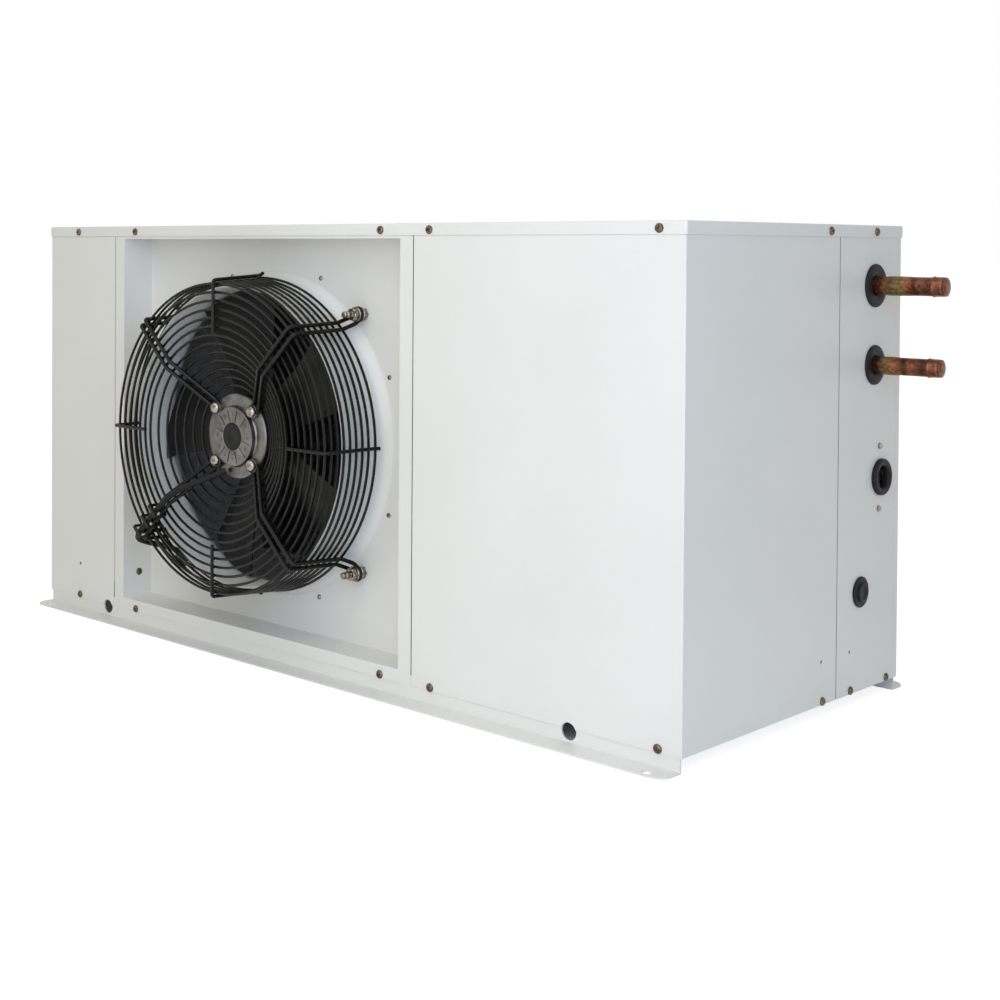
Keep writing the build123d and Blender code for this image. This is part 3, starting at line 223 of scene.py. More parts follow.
# %% [markdown]
# Inside, the steel is only galvanised. Zinc freezes in crystals, which show as
# patches of lighter and darker grey called spangle. A Voronoi pattern has such
# patches, and its cell colour changes both the grey and the roughness.
# %% Bare metals
def spangled(name, light, dark, size):
    """Zinc that froze in crystals."""
    material, tree, shader, place = finish(name, 0.4, metal=0.85)
    cells = step(tree, "ShaderNodeTexVoronoi", {"Vector": place, "Scale": 1 / (size * MM)})
    split = step(tree, "ShaderNodeSeparateColor", {"Color": cells.outputs["Color"]})
    colour = shades(tree, split.outputs["Red"], (0.0, dark), (1.0, light))
    tree.links.new(colour, shader.inputs["Base Color"])
    roughness(tree, shader, split.outputs["Green"], 0.32, 0.52)
    relief(tree, shader, grain(tree, place, 1.5), 0.02)
    return material


def metal(name, light, dark, rough, patch, pit, pit_height):
    """A metal whose tone wanders in patches and whose skin has small pits."""
    material, tree, shader, place = finish(name, rough, metal=1.0)
    tone = grain(tree, place, patch)
    tree.links.new(shades(tree, tone, (0.32, dark), (0.68, light)), shader.inputs["Base Color"])
    roughness(tree, shader, tone, rough - 0.07, rough + 0.1)
    relief(tree, shader, grain(tree, place, pit), pit_height)
    return material


galvanised = spangled("galvanised steel", paint(196, 200, 203), paint(166, 171, 175), 9)
metals = {}
for name, light, dark, *feel in (
    ("fin aluminium", (196, 197, 196), (160, 160, 157), 0.38, 30, 2, 0.03),
    ("cast aluminium", (128, 127, 124), (92, 90, 87), 0.34, 14, 0.9, 0.09),
    ("bright zinc", (170, 164, 154), (96, 89, 80), 0.24, 4, 0.5, 0.01),
    ("yellow zinc", (128, 116, 94), (62, 53, 41), 0.36, 2.5, 0.5, 0.02),
    ("brass", (206, 170, 92), (160, 122, 58), 0.3, 6, 0.6, 0.02),
    ("tube copper", (196, 122, 84), (138, 82, 58), 0.34, 14, 1.2, 0.03),
    ("winding wire", (186, 104, 62), (122, 62, 38), 0.36, 2, 0.6, 0.08),
):
    metals[name] = metal(name, paint(*light), paint(*dark), *feel)
zinc_steel, copper = metals["bright zinc"], metals["tube copper"]
print("made", len(bpy.data.materials), "finishes")

# %% [markdown]
# The black pieces are of four kinds: wire and blades with a glossy dip or powder
# coat, steel vessels with a satin paint, moulded plastic, and rubber. They differ
# mostly in how they shine, so the colour stays near black and the roughness and
# the relief carry the difference. Dust lightens each of them a little.
# %% Black finishes
def black(name, deep, dusty, low, high, pebble, pebble_height):
    """A black surface with its own shine and its own fine relief."""
    material, tree, shader, place = finish(name, low, gloss=0.22)
    dust = grain(tree, place, 35, detail=4)
    colour = shades(tree, dust, (0.35, paint(*deep)), (0.75, paint(*dusty)))
    tree.links.new(colour, shader.inputs["Base Color"])
    roughness(tree, shader, dust, low, high)
    relief(tree, shader, grain(tree, place, pebble), pebble_height)
    return material


black_wire = black("black dipped wire", (12, 12, 11), (22, 21, 19), 0.2, 0.32, 3, 0.05)
black_steel = black("black steel paint", (8, 8, 8), (22, 20, 17), 0.24, 0.4, 2.2, 0.06)
black_plastic = black("black plastic", (16, 16, 16), (28, 27, 26), 0.4, 0.55, 0.7, 0.03)
black_rubber = black("black rubber", (18, 18, 19), (34, 33, 31), 0.5, 0.68, 0.9, 0.04)
print("made", black_rubber.name)

# %% [markdown]
# The sight glass is a thick lens. A shader with full transmission and the index of
# glass is enough, with a very faint ripple so that its highlight isn't a perfect
# disc.
# %% Glass
def lens_glass():
    """Clear glass with a faint ripple."""
    material, tree, shader, place = finish("sight glass lens", 0.04)
    shader.inputs["Transmission Weight"].default_value = 1.0
    shader.inputs["IOR"].default_value = 1.5
    pale, paler = paint(226, 236, 232), paint(238, 244, 240)
    tint = shades(tree, grain(tree, place, 20), (0.3, pale), (0.7, paler))
    tree.links.new(tint, shader.inputs["Base Color"])
    relief(tree, shader, grain(tree, place, 6), 0.02)
    return material


glass = lens_glass()
print("made", glass.name)

# %% [markdown]
# Each CAD node whose shape is already right keeps its mesh and only gets its
# finish. The record says which slot each node belongs to, so one table from slot
# to finish dresses all sixty nodes, and the pieces made later replace some of them.
# %% Dress every CAD node
finishes = {
    "white_paint": white_paint, "galvanised": galvanised, "copper": copper,
    "fin_aluminium": metals["fin aluminium"], "cast_aluminium": metals["cast aluminium"],
    "yellow_zinc": metals["yellow zinc"], "winding": metals["winding wire"],
    "brass": metals["brass"], "zinc_steel": zinc_steel, "glass": glass,
    "black_wire": black_wire, "black_steel": black_steel,
    "black_plastic": black_plastic, "black_rubber": black_rubber,
}
slot_of = {row["node"]: row["material_slot"] for row in frame["record"]["subparts"]}

for node_name, cad in frame["nodes"].items():
    cad.data.materials.clear()
    cad.data.materials.append(finishes[slot_of[node_name]])
print("dressed", len(slot_of), "nodes in", len(set(slot_of.values())), "finishes")

# %% [markdown]
# A new piece needs four facts: its mesh, its finish, the CAD nodes that it stands
# for, and the body that it moves with. Saying them in one place, in the same way
# for every piece, keeps a guard ring from being left on the wrong body.
# %% Put a piece in place
def place_piece(piece, stands_for, body="housing", smooth=35):
    """The piece takes over from its CAD nodes, with the finish that they had."""
    stands_for = [stands_for] if isinstance(stands_for, str) else list(stands_for)
    slot = slot_of[stands_for[0]]
    if not piece.data.materials or piece.data.materials[0] is None:
        only_finish(piece, finishes[slot])
    if smooth:
        piece.data.shade_smooth()
        piece.data.set_sharp_from_angle(angle=math.radians(smooth))
    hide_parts(*stands_for)
    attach(piece, body)
    print(f"{piece.name}: {len(piece.data.polygons)} faces for {', '.join(stands_for)}")


def only_finish(piece, look):
    """The piece gets this finish and loses any other."""
    piece.data.materials.clear()
    piece.data.materials.append(look)


def new_piece(name, points, faces=(), edges=()):
    """An object made of points in metres."""
    mesh = bpy.data.meshes.new(name)
    mesh.from_pydata(*([tuple(row) for row in rows] for rows in (points, edges, faces)))
    mesh.update()
    piece = bpy.data.objects.new(name, mesh)
    bpy.context.scene.collection.objects.link(piece)
    return piece


def from_form(name, form):
    """A bmesh becomes an object and is let go."""
    piece = new_piece(name, [])
    form.to_mesh(piece.data)
    form.free()
    return piece


def joined(name, *pieces):
    """Several meshes become one, and the parts are removed."""
    whole = bmesh.new()
    finish_used = next((m for p in pieces for m in p.data.materials), None)
    for piece in pieces:
        whole.from_mesh(piece.data)
        bpy.data.objects.remove(piece)
    result = from_form(name, whole)
    if finish_used is not None:
        result.data.materials.append(finish_used)
    return result


# %% [markdown]
# The panels are sheet steel, cut flat and folded in a press. A fold is never sharp:
# outside it has a radius a bit larger than the sheet's thickness, and a cut edge is
# only broken by the paint. The CAD panels have sharp folds, so each is copied, its
# triangles are merged into whole faces, and the edges are bevelled: wide where two
# broad faces meet, and narrow at a cut edge.
# %% Folded sheet metal
def broad(face, edge, least):
    """A face that is wide across this edge is the face of a sheet, not its cut."""
    return face.calc_area() / max(edge.calc_length(), 1e-6) > least


def folded_sheet(node_name, fold=1.5, cut=0.28):
    """A copy of a CAD panel with rounded folds, in millimetres."""
    form = bmesh.new()
    form.from_mesh(frame["nodes"][node_name].data)
    bmesh.ops.remove_doubles(form, verts=form.verts, dist=0.02 * MM)
    bmesh.ops.dissolve_limit(
        form, angle_limit=math.radians(1.5), verts=form.verts, edges=form.edges,
        delimit={"NORMAL"},
    )
    folds, cuts = [], []
    for edge in form.edges:
        if len(edge.link_faces) != 2 or edge.calc_face_angle(0) < math.radians(30):
            continue
        wide = all(broad(face, edge, 4 * MM) for face in edge.link_faces)
        if wide and edge.is_convex and edge.calc_length() > 12 * MM:
            folds.append(edge)
        else:
            cuts.append(edge)
    for edges, offset, segments in ((cuts, cut, 1), (folds, fold, 4)):
        bmesh.ops.bevel(
            form, geom=[edge for edge in edges if edge.is_valid], offset=offset * MM,
            offset_type="OFFSET", segments=segments, affect="EDGES",
            clamp_overlap=True, profile=0.5,
        )
    return from_form(node_name + "_sheet", form)


panels = [
    "lid", "front_rail", "rear_rail", "base_pan", "left_cover", "fan_panel",
    "front_right_cover", "connection_panel", "rear_panel", "rear_header",
]
for panel in panels:
    place_piece(folded_sheet(panel), panel, smooth=None)

# %% [markdown]
# Geometry Nodes make whatever is repeated. A tree gets named inputs for its sizes,
# and its last two nodes are always the same: real geometry instead of instances,
# and a material. The result is read back as a plain mesh and the tree is let go.
# %% Node tree helpers
def new_tree(name, **sizes):
    """A tree with one input for each size; returns it with its first and last node."""
    tree = bpy.data.node_groups.new(name, "GeometryNodeTree")
    face = tree.interface
    face.new_socket("Geometry", in_out="INPUT", socket_type="NodeSocketGeometry")
    for size, value in sizes.items():
        kind = "NodeSocketInt" if isinstance(value, int) else "NodeSocketFloat"
        socket = face.new_socket(size, in_out="INPUT", socket_type=kind)
        socket.default_value = value
    face.new_socket("finish", in_out="INPUT", socket_type="NodeSocketMaterial")
    face.new_socket("Geometry", in_out="OUTPUT", socket_type="NodeSocketGeometry")
    return tree, tree.nodes.new("NodeGroupInput"), tree.nodes.new("NodeGroupOutput")


def end_tree(tree, first, last, geometry):
    """Real geometry, then its finish, then out."""
    real = step(tree, "GeometryNodeRealizeInstances", {"Geometry": geometry})
    dressed = step(tree, "GeometryNodeSetMaterial", {
        "Geometry": real.outputs["Geometry"], "Material": first.outputs["finish"],
    })
    tree.links.new(dressed.outputs["Geometry"], last.inputs["Geometry"])


def read_back(source, name):
    """The finished mesh of an object, as a plain object; the source is let go."""
    depsgraph = bpy.context.evaluated_depsgraph_get()
    finished = source.evaluated_get(depsgraph)
    mesh = bpy.data.meshes.new_from_object(finished, depsgraph=depsgraph)
    bpy.data.objects.remove(source)
    mesh.name = name
    piece = bpy.data.objects.new(name, mesh)
    bpy.context.scene.collection.objects.link(piece)
    return piece


def grown(name, tree, base, look, **sizes):
    """Runs a tree on a base object and returns the result as a plain mesh object."""
    modifier = base.modifiers.new("grow", "NODES")
    modifier.node_group = tree
    given = {**sizes, "finish": look}
    for socket in tree.interface.items_tree:
        if socket.in_out == "INPUT" and socket.name in given:
            modifier[socket.identifier] = given[socket.name]
    base.update_tag()
    return read_back(base, name)


print("helpers ready")

# %% [markdown]
# The guard is a cage of spot welded wire. Its rings are bent from one thin wire,
# and they come in three rows: a cone of rings around the motor, a flat field in
# front of the blades, and a skirt at the side. In each row the radius and the depth
# grow by equal steps, so one tree makes a row from a start and a step.
# %% Guard rings
def ring_row_tree():
    """Wire rings about the fan axis, in equal steps of radius and depth."""
    tree, first, last = new_tree(
        "ring row", count=5, radius=0.06, radius_step=0.01, depth=-0.25, depth_step=0.0,
        wire=0.0016, hub_x=hub_x * MM, hub_z=hub_z * MM,
    )
    start = step(tree, "ShaderNodeCombineXYZ", {
        "X": first.outputs["radius"], "Y": first.outputs["depth"],
    })
    stride = step(tree, "ShaderNodeCombineXYZ", {
        "X": first.outputs["radius_step"], "Y": first.outputs["depth_step"],
    })
    line = step(tree, "GeometryNodeMeshLine", {
        "Count": first.outputs["count"], "Start Location": start.outputs[0],
        "Offset": stride.outputs[0],
    }, mode="OFFSET")
    at = step(tree, "GeometryNodeInputPosition")
    kept = step(tree, "GeometryNodeCaptureAttribute", {"Geometry": line.outputs["Mesh"]})
    kept.capture_items.new("VECTOR", "size")
    tree.links.new(at.outputs["Position"], kept.inputs["size"])
    parts = step(tree, "ShaderNodeSeparateXYZ", {"Vector": kept.outputs["size"]})
    on_axis = step(tree, "ShaderNodeCombineXYZ", {
        "X": first.outputs["hub_x"], "Y": parts.outputs["Y"], "Z": first.outputs["hub_z"],
    })
    moved = step(tree, "GeometryNodeSetPosition", {
        "Geometry": kept.outputs["Geometry"], "Position": on_axis.outputs[0],
    })
    circle = step(tree, "GeometryNodeCurvePrimitiveCircle", {"Resolution": 112, "Radius": 1.0})
    rings = step(tree, "GeometryNodeInstanceOnPoints", {
        "Points": moved.outputs["Geometry"], "Instance": circle.outputs["Curve"],
        "Rotation": (math.pi / 2, 0, 0), "Scale": parts.outputs["X"],
    })
    real = step(tree, "GeometryNodeRealizeInstances", {"Geometry": rings.outputs["Instances"]})
    even = step(tree, "GeometryNodeSetCurveRadius", {
        "Curve": real.outputs["Geometry"], "Radius": 1.0,
    })
    section = step(tree, "GeometryNodeCurvePrimitiveCircle", {
        "Resolution": 8, "Radius": first.outputs["wire"],
    })
    wires = step(tree, "GeometryNodeCurveToMesh", {
        "Curve": even.outputs["Curve"], "Profile Curve": section.outputs["Curve"],
    })
    end_tree(tree, first, last, wires.outputs["Mesh"])
    return tree


ring_tree = ring_row_tree()
weld_gap = 0.25
arm_wire, ring_wire = 4.8, 3.2
hub_end, cone_start, cone_end, corner, seat = 39.3, 53.5, 115.0, 184.4, 189.0
cone_front, field_front = -19.65, -54.0
slope = math.atan2(cone_front - field_front, cone_end - cone_start)
behind_arm = (arm_wire + ring_wire) / 2 + weld_gap + 1.0
field_depth = -49.75


def arm_depth(radius):
    """Depth of an arm's middle line on the cone."""
    along = (radius - cone_start) / (cone_end - cone_start)
    return cone_front + along * (field_front - cone_front)


def ring_row(name, count, radius, radius_step, depth, depth_step):
    """One row of rings, with its sizes in millimetres."""
    return grown(
        name, ring_tree, new_piece("seed", [(0, 0, 0)]), black_wire, count=count,
        radius=radius * MM, radius_step=radius_step * MM,
        depth=(front_y + depth) * MM, depth_step=depth_step * MM, wire=ring_wire / 2 * MM,
    )


cone_lift = behind_arm / math.cos(slope)
ring_pitch, first_ring = 10, 60
cone_step = (field_front - cone_front) / (cone_end - cone_start) * ring_pitch
cone_row = ring_row(
    "cone", 6, first_ring, ring_pitch, arm_depth(first_ring) + cone_lift, cone_step,
)
field_row = ring_row("field", 7, 120, ring_pitch, field_depth, 0)
last_ring_r, last_ring_depth = 186.1, 23.5
side_step = (last_ring_depth - field_depth) / 8
side_slope = (seat - corner) / 74
side_row = ring_row(
    "side", 7, corner + side_slope * (field_depth + side_step - field_front) - 4.25,
    side_slope * side_step, field_depth + side_step, side_step,
)
last_row = ring_row("last", 1, last_ring_r, 0, last_ring_depth, 0)
place_piece(joined("guard_ring_wires", cone_row, field_row, side_row, last_row), "guard_rings")

# %% [markdown]
# The arms that carry the rings are thicker wire, bent like hairpins: from a hub
# screw out along the cone, round to the skirt and back to an eye at the stud. A
# bender always leaves a radius, so the route is written as its corner points and
# the Fillet Curve node rounds them before a round section follows the curve.
# %% Guard arms and spokes
def bent_wire_tree():
    """A wire along a row of corner points, with a radius at each bend."""
    tree, first, last = new_tree("bent wire", wire=0.0024, bend=0.004)
    line = step(tree, "GeometryNodeMeshToCurve", {"Mesh": first.outputs["Geometry"]})
    rounded = step(tree, "GeometryNodeFilletCurve", {
        "Curve": line.outputs["Curve"], "Count": 5, "Radius": first.outputs["bend"],
        "Limit Radius": True,
    }, mode="POLY")
    section = step(tree, "GeometryNodeCurvePrimitiveCircle", {
        "Resolution": 12, "Radius": first.outputs["wire"],
    })
    wires = step(tree, "GeometryNodeCurveToMesh", {
        "Curve": rounded.outputs["Curve"], "Profile Curve": section.outputs["Curve"],
        "Fill Caps": True,
    })
    end_tree(tree, first, last, wires.outputs["Mesh"])
    return tree


wire_tree = bent_wire_tree()


def bent_wires(name, routes, wire, bend, look):
    """Several wires at once, each from its own row of points."""
    points, edges = [], []
    for route in routes:
        edges += [(len(points) + i, len(points) + i + 1) for i in range(len(route) - 1)]
        points += route
    return grown(
        name, wire_tree, new_piece("seed", points, edges=edges), look,
        wire=wire / 2 * MM, bend=bend * MM,
    )


half_gap = arm_wire / 2 + 2.8
eye_half = half_gap + 1.9
stud_circle, eye_depth = 208.0, 34.4
arm_angles, spoke_angles = (45, 135, 225, 315), (0, 90, 180, 270)
arm_routes = []
for angle in arm_angles:
    leg = [
        (hub_end, cone_front, half_gap), (cone_start, cone_front, half_gap),
        (cone_end, field_front, half_gap), (corner, field_front, half_gap),
        (seat, 20, half_gap), (stud_circle - 10.5, eye_depth, half_gap),
        (stud_circle, eye_depth, eye_half), (stud_circle + eye_half, eye_depth, eye_half / 2),
    ]
    ahead_leg = [around(r, angle, depth, side) for r, depth, side in leg]
    back_leg = [around(r, angle, depth, -side) for r, depth, side in reversed(leg)]
    hub_gap = [around(hub_end, angle, cone_front, side * 0.4) for side in (1, -1)]
    arm_routes.append(hub_gap[:1] + ahead_leg + back_leg + hub_gap[1:])
spoke_wire = 4.2
spoke_leg = [(124, field_front), (corner, field_front), (seat, 20), (191.9, 25)]
spoke_routes = [
    [around(r, angle, depth) for r, depth in spoke_leg] for angle in spoke_angles
]
arm_set = bent_wires("guard_arm_wires", arm_routes, arm_wire, 4.5, black_wire)
place_piece(arm_set, "guard_arms")
spoke_set = bent_wires("guard_spoke_wires", spoke_routes, spoke_wire, 3.5, black_wire)
place_piece(spoke_set, "guard_spokes")

# %% [markdown]
# Where a ring crosses an arm, a spot weld squeezes the two wires into each other
# and leaves a small flattened nugget under the coating. Each crossing is a point,
# and one small blob is put on every point.
# %% Weld nuggets
def nugget_tree():
    """A small flattened blob on every point of the base mesh."""
    tree, first, last = new_tree("weld nuggets", nugget=0.0022)
    blob = step(tree, "GeometryNodeMeshIcoSphere", {
        "Radius": first.outputs["nugget"], "Subdivisions": 2,
    })
    flat = step(tree, "GeometryNodeTransform", {
        "Geometry": blob.outputs["Mesh"], "Scale": (1.0, 0.75, 1.0),
    })
    put = step(tree, "GeometryNodeInstanceOnPoints", {
        "Points": first.outputs["Geometry"], "Instance": flat.outputs["Geometry"],
    })
    end_tree(tree, first, last, put.outputs["Instances"])
    return tree


crossings = []
weld_drop = arm_wire / 2 - 0.2
for angle in arm_angles:
    for side in (-half_gap, half_gap):
        for radius in range(60, 120, 10):
            depth = arm_depth(radius) + weld_drop
            crossings.append(around(radius - 0.2, angle, depth, side))
for angle in sorted(arm_angles + spoke_angles):
    inner, sides = (120, (-half_gap, half_gap)) if angle % 90 else (130, (0,))
    for side in sides:
        for radius in range(inner, 190, 10):
            along = math.sqrt(radius ** 2 - side ** 2)
            crossings.append(around(along, angle, field_front + weld_drop, side))
seed = new_piece("seed", crossings)
nuggets = grown("weld_nuggets", nugget_tree(), seed, black_wire, nugget=2.3 * MM)
nuggets.data.shade_smooth()
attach(nuggets, "housing")
print("welds:", len(crossings))

# %% [markdown]
# Much of a machine is turned on a lathe or pressed over a round form. Such a piece
# is one outline, taken round an axis. The helper takes the outline as pairs of
# radius and height in millimetres, and closes it where it meets the axis.
# %% Turned pieces
def turned(name, outline, origin, axis, steps=64):
    """An outline of (radius, height) pairs taken round an axis from an origin."""
    axis = Vector(axis).normalized()
    across = axis.orthogonal().normalized()
    other = axis.cross(across)
    form = bmesh.new()
    rows = []
    for radius, height in outline:
        centre = Vector(origin) + axis * height * MM
        if radius < 1e-6:
            rows.append([form.verts.new(centre)])
            continue
        rows.append([
            form.verts.new(centre + (across * math.cos(a) + other * math.sin(a)) * radius * MM)
            for a in (2 * math.pi * i / steps for i in range(steps))
        ])
    for low, high in zip(rows, rows[1:] + rows[:1]):
        for i in range(steps):
            j = (i + 1) % steps
            corners = [row[k % len(row)] for row, k in ((low, i), (low, j), (high, j), (high, i))]
            corners = list(dict.fromkeys(corners))
            if len(corners) > 2 and not form.faces.get(corners):
                form.faces.new(corners)
    bmesh.ops.remove_doubles(form, verts=form.verts, dist=0.001 * MM)
    bmesh.ops.recalc_face_normals(form, faces=form.faces)
    if form.calc_volume(signed=True) < 0:
        bmesh.ops.reverse_faces(form, faces=form.faces)
    return from_form(name, form)


def arc(centre_r, centre_h, radius, start, stop, count=6):
    """Points of an arc, for an outline; the angles are in degrees."""
    turns = [math.radians(start + (stop - start) * i / count) for i in range(count + 1)]
    return [(centre_r + radius * math.cos(t), centre_h + radius * math.sin(t)) for t in turns]


fan_axis = (0, 1, 0)
front_centre = spot(hub_x, front_y, hub_z)
print("fan axis starts at", tuple(front_centre))

# %% [markdown]
# The bell mouth around the blades is pressed from one disc. Behind the panel it
# lies flat; it flares in through the panel's hole and runs forward as a straight
# collar, inside the guard's skirt, to a front edge that is rolled for stiffness.
# Its outline has both sides of the sheet.
# %% Bell mouth
throat, collar_front = 175.3, -20.0
mouth = [
    (213.0, 48.0), (213.0, 46.8), (194.0, 46.8), (190.2, 45.4), (186.6, 43.4),
    (183.5, 41.0), (180.8, 37.8), (178.6, 34.0), (177.2, 30.2), (176.5, 26.5),
    (176.5, -16.6), (177.4, -17.2), (178.0, -18.2), (177.8, -19.3), (176.9, collar_front),
    (175.9, -19.9), (throat, -19.0), (throat, 26.5), (176.0, 30.5), (177.4, 34.6),
    (179.8, 38.8), (182.6, 42.0), (186.0, 44.7), (189.6, 46.6), (193.2, 48.0),
]
bell = turned("bell_mouth", mouth, front_centre, fan_axis, steps=144)
print("collar:", throat, "mm inside, from", collar_front, "to the panel")
place_piece(bell, "nozzle_ring", smooth=40)

# %% [markdown]
# The motor sits still in the middle and its can turns around it. In front is a
# die cast flange: a raised disc with short ribs, a groove, and a rim. Casting
# leaves small bosses where the ejector pins pushed, and they catch the light.
# %% Motor flange
flange = [
    (16.0, -19.0), (16.0, -23.5), (16.6, -24.0), (33.4, -24.0), (34.6, -23.5),
    (35.0, -22.4), (35.3, -18.6), (36.6, -17.2), (39.0, -16.9), (46.8, -16.9),
    (49.4, -16.4), (50.5, -15.0), (50.5, -11.6), (50.0, -11.0), (16.0, -11.0),
    (16.0, 50.0), (11.0, 50.0), (11.0, -19.0),
]
flange_disc = turned("flange", flange, front_centre, fan_axis, steps=96)
box_faces = [(0, 1, 3, 2), (4, 6, 7, 5), (0, 4, 5, 1), (2, 3, 7, 6), (0, 2, 6, 4), (1, 5, 7, 3)]


def box_mesh(name, low, high):
    """A block between two corners in millimetres."""
    corners = [
        spot(x, y, z)
        for x in (low[0], high[0]) for y in (low[1], high[1]) for z in (low[2], high[2])
    ]
    return new_piece(name, corners, box_faces)


def spoke_block(name, angle, r0, r1, half, depth0, depth1):
    """A radial block about the fan axis."""
    points = [
        around(r, angle, depth, side)
        for r in (r0, r1) for depth in (depth0, depth1) for side in (-half, half)
    ]
    return new_piece(name, points, box_faces)


ribs = [spoke_block("rib", 15 + 30 * k, 18.0, 31.5, 0.8, -24.9, -23.8) for k in range(12)]
pin = [(0, -0.9), (1.5, -0.9), (1.9, -0.3), (1.9, 0.4), (0, 0.4)]
pins = [turned("pin", pin, around(26, 30 * k, -24), fan_axis, 10) for k in range(12)]
lug = [(0, -5.0), (6.6, -5.0), (8.0, -4.2), (8.4, 0.2), (0, 0.2)]
lug_circle = 44.5
lugs = [turned("lug", lug, around(lug_circle, a, -17), fan_axis, 24) for a in arm_angles]
casting = joined("motor_flange_casting", flange_disc, *ribs, *pins, *lugs)
place_piece(casting, "motor_flange", smooth=30)

cap = [
    (0, -23.4), (4.5, -23.4), (5.5, -23.9), (13.6, -23.9), (15.2, -23.6), (15.8, -22.8),
    (15.8, -19.2), (0, -19.2),
]
place_piece(turned("motor_boss_seal", cap, front_centre, fan_axis, 48), "motor_cap")

dome = [
    (0, -27.3), (2.4, -27.15), (4.8, -26.4), (6.5, -25.1), (7.3, -23.6), (7.5, -22.4),
    (7.5, -22.0), (0, -22.0),
]
domes = [turned("dome", dome, around(lug_circle, a, 0), fan_axis, 28) for a in arm_angles]
place_piece(joined("hub_dome_screws", *domes), "motor_screws")

can = [(51.0, -5.0), (51.0, 50.0)] + arc(44, 51, 7, 0, 90, 6)[1:]
can += [
    (4.4, 58.0), (4.4, 55.0), (43.5, 55.0), (47.0, 53.0), (48.0, 50.0), (48.0, -6.0),
    (50.0, -6.0),
]
place_piece(turned("motor_can", can, front_centre, fan_axis, 72), "rotor_can", body="fan")

# %% [markdown]
# Five sickle blades are pressed from steel and welded to the can. Each has a
# chord that grows towards its tip, a pitch, and a shallow camber like a wing. A
# grid of points follows those three rules, and Solidify gives it the sheet's
# thickness.
# %% Fan blades
blade_low, blade_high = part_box("fan_blades")
root_r, tip_r = 50.5, 171.6
blade_sheet, blade_depth = 1.9, 27.0
pitch_slope = math.tan(math.radians(18.5))


def blade_grid(name, turn, across=14, along=18):
    """The middle surface of one blade."""
    points = []
    for i in range(along + 1):
        u = i / along
        radius = root_r + (tip_r - root_r) * u
        lead = -24 - 16 * u + 22 * u * (1 - u)
        trail = 24 + 38 * u ** 0.9 - 10 * u * (1 - u)
        for j in range(across + 1):
            t = j / across
            reach = lead + (trail - lead) * t
            angle = turn - math.degrees(reach / radius)
            camber = 5.0 * (1 - (2 * t - 1) ** 2) * (0.4 + 0.6 * u)
            depth = blade_depth + reach * pitch_slope * (1 - 0.12 * u) - camber
            points.append(around(radius, angle, depth))
    row = across + 1
    starts = [i * row + j for i in range(along) for j in range(across)]
    faces = [(at, at + 1, at + row + 1, at + row) for at in starts]
    return new_piece(name, points, faces)


def thickened(piece, thickness, name):
    """A sheet without thickness gets one, half of it on each side."""
    solidify = piece.modifiers.new("solidify", "SOLIDIFY")
    solidify.thickness = thickness
    solidify.offset = 0.0
    return read_back(piece, name)


blades = joined("fan_blade_set", *[blade_grid("blade", 110 + 72 * k) for k in range(5)])
blades = thickened(blades, blade_sheet * MM, "fan_blade_set.001")
depths = [v.co.y / MM for v in blades.data.vertices]
print("blade depth:", min(depths), max(depths), "CAD", blade_low.y / MM, blade_high.y / MM)
place_piece(blades, "fan_blades", body="fan", smooth=40)

# %% [markdown]
# Screws are the same few shapes put in many places. Where they go is already in
# the CAD model: each loose part of a screw node is one screw, its long side tells
# the screw's direction, and its outer end tells the place. Each point carries the
# direction as an attribute, and a tree turns one modelled head to face it.
# %% Where the screws are
def loose_parts(node_name):
    """The lowest and highest corner of every loose part of a CAD node, in order."""
    form = bmesh.new()
    form.from_mesh(frame["nodes"][node_name].data)
    bmesh.ops.remove_doubles(form, verts=form.verts, dist=0.02 * MM)
    left, found = set(form.verts), []
    while left:
        queue = [left.pop()]
        part = list(queue)
        while queue:
            for edge in queue.pop().link_edges:
                for vertex in edge.verts:
                    if vertex in left:
                        left.remove(vertex)
                        queue.append(vertex)
                        part.append(vertex)
        corners = [[f(v.co[i] for v in part) for i in range(3)] for f in (min, max)]
        found.append((Vector(corners[0]), Vector(corners[1])))
    form.free()
    return sorted(found, key=lambda box: [round(v, 5) for v in box[0]])


cabinet_middle = (cad_box[0] + cad_box[1]) / 2


def seats(node_name, head, facing=None):
    """The foot and the outward direction of every screw head of a node."""
    found = []
    for low, high in loose_parts(node_name):
        size = high - low
        axis = max(range(3), key=lambda i: size[i])
        middle = (low + high) / 2
        way = Vector((0, 0, 0))
        way[axis] = 1.0 if middle[axis] > cabinet_middle[axis] else -1.0
        if axis == 0 and abs(middle.x) < 450 * MM:
            way.x = 1.0
        if facing is not None:
            way = Vector(facing)
            axis = max(range(3), key=lambda i: abs(way[i]))
        foot = middle + way * (size[axis] / 2 - head * MM)
        found.append((foot, way))
    return found


cabinet_head, mouth_head = 2.4, 1.8
screw_seats = seats("cabinet_screws", cabinet_head)
print("cabinet screws:", len(screw_seats))

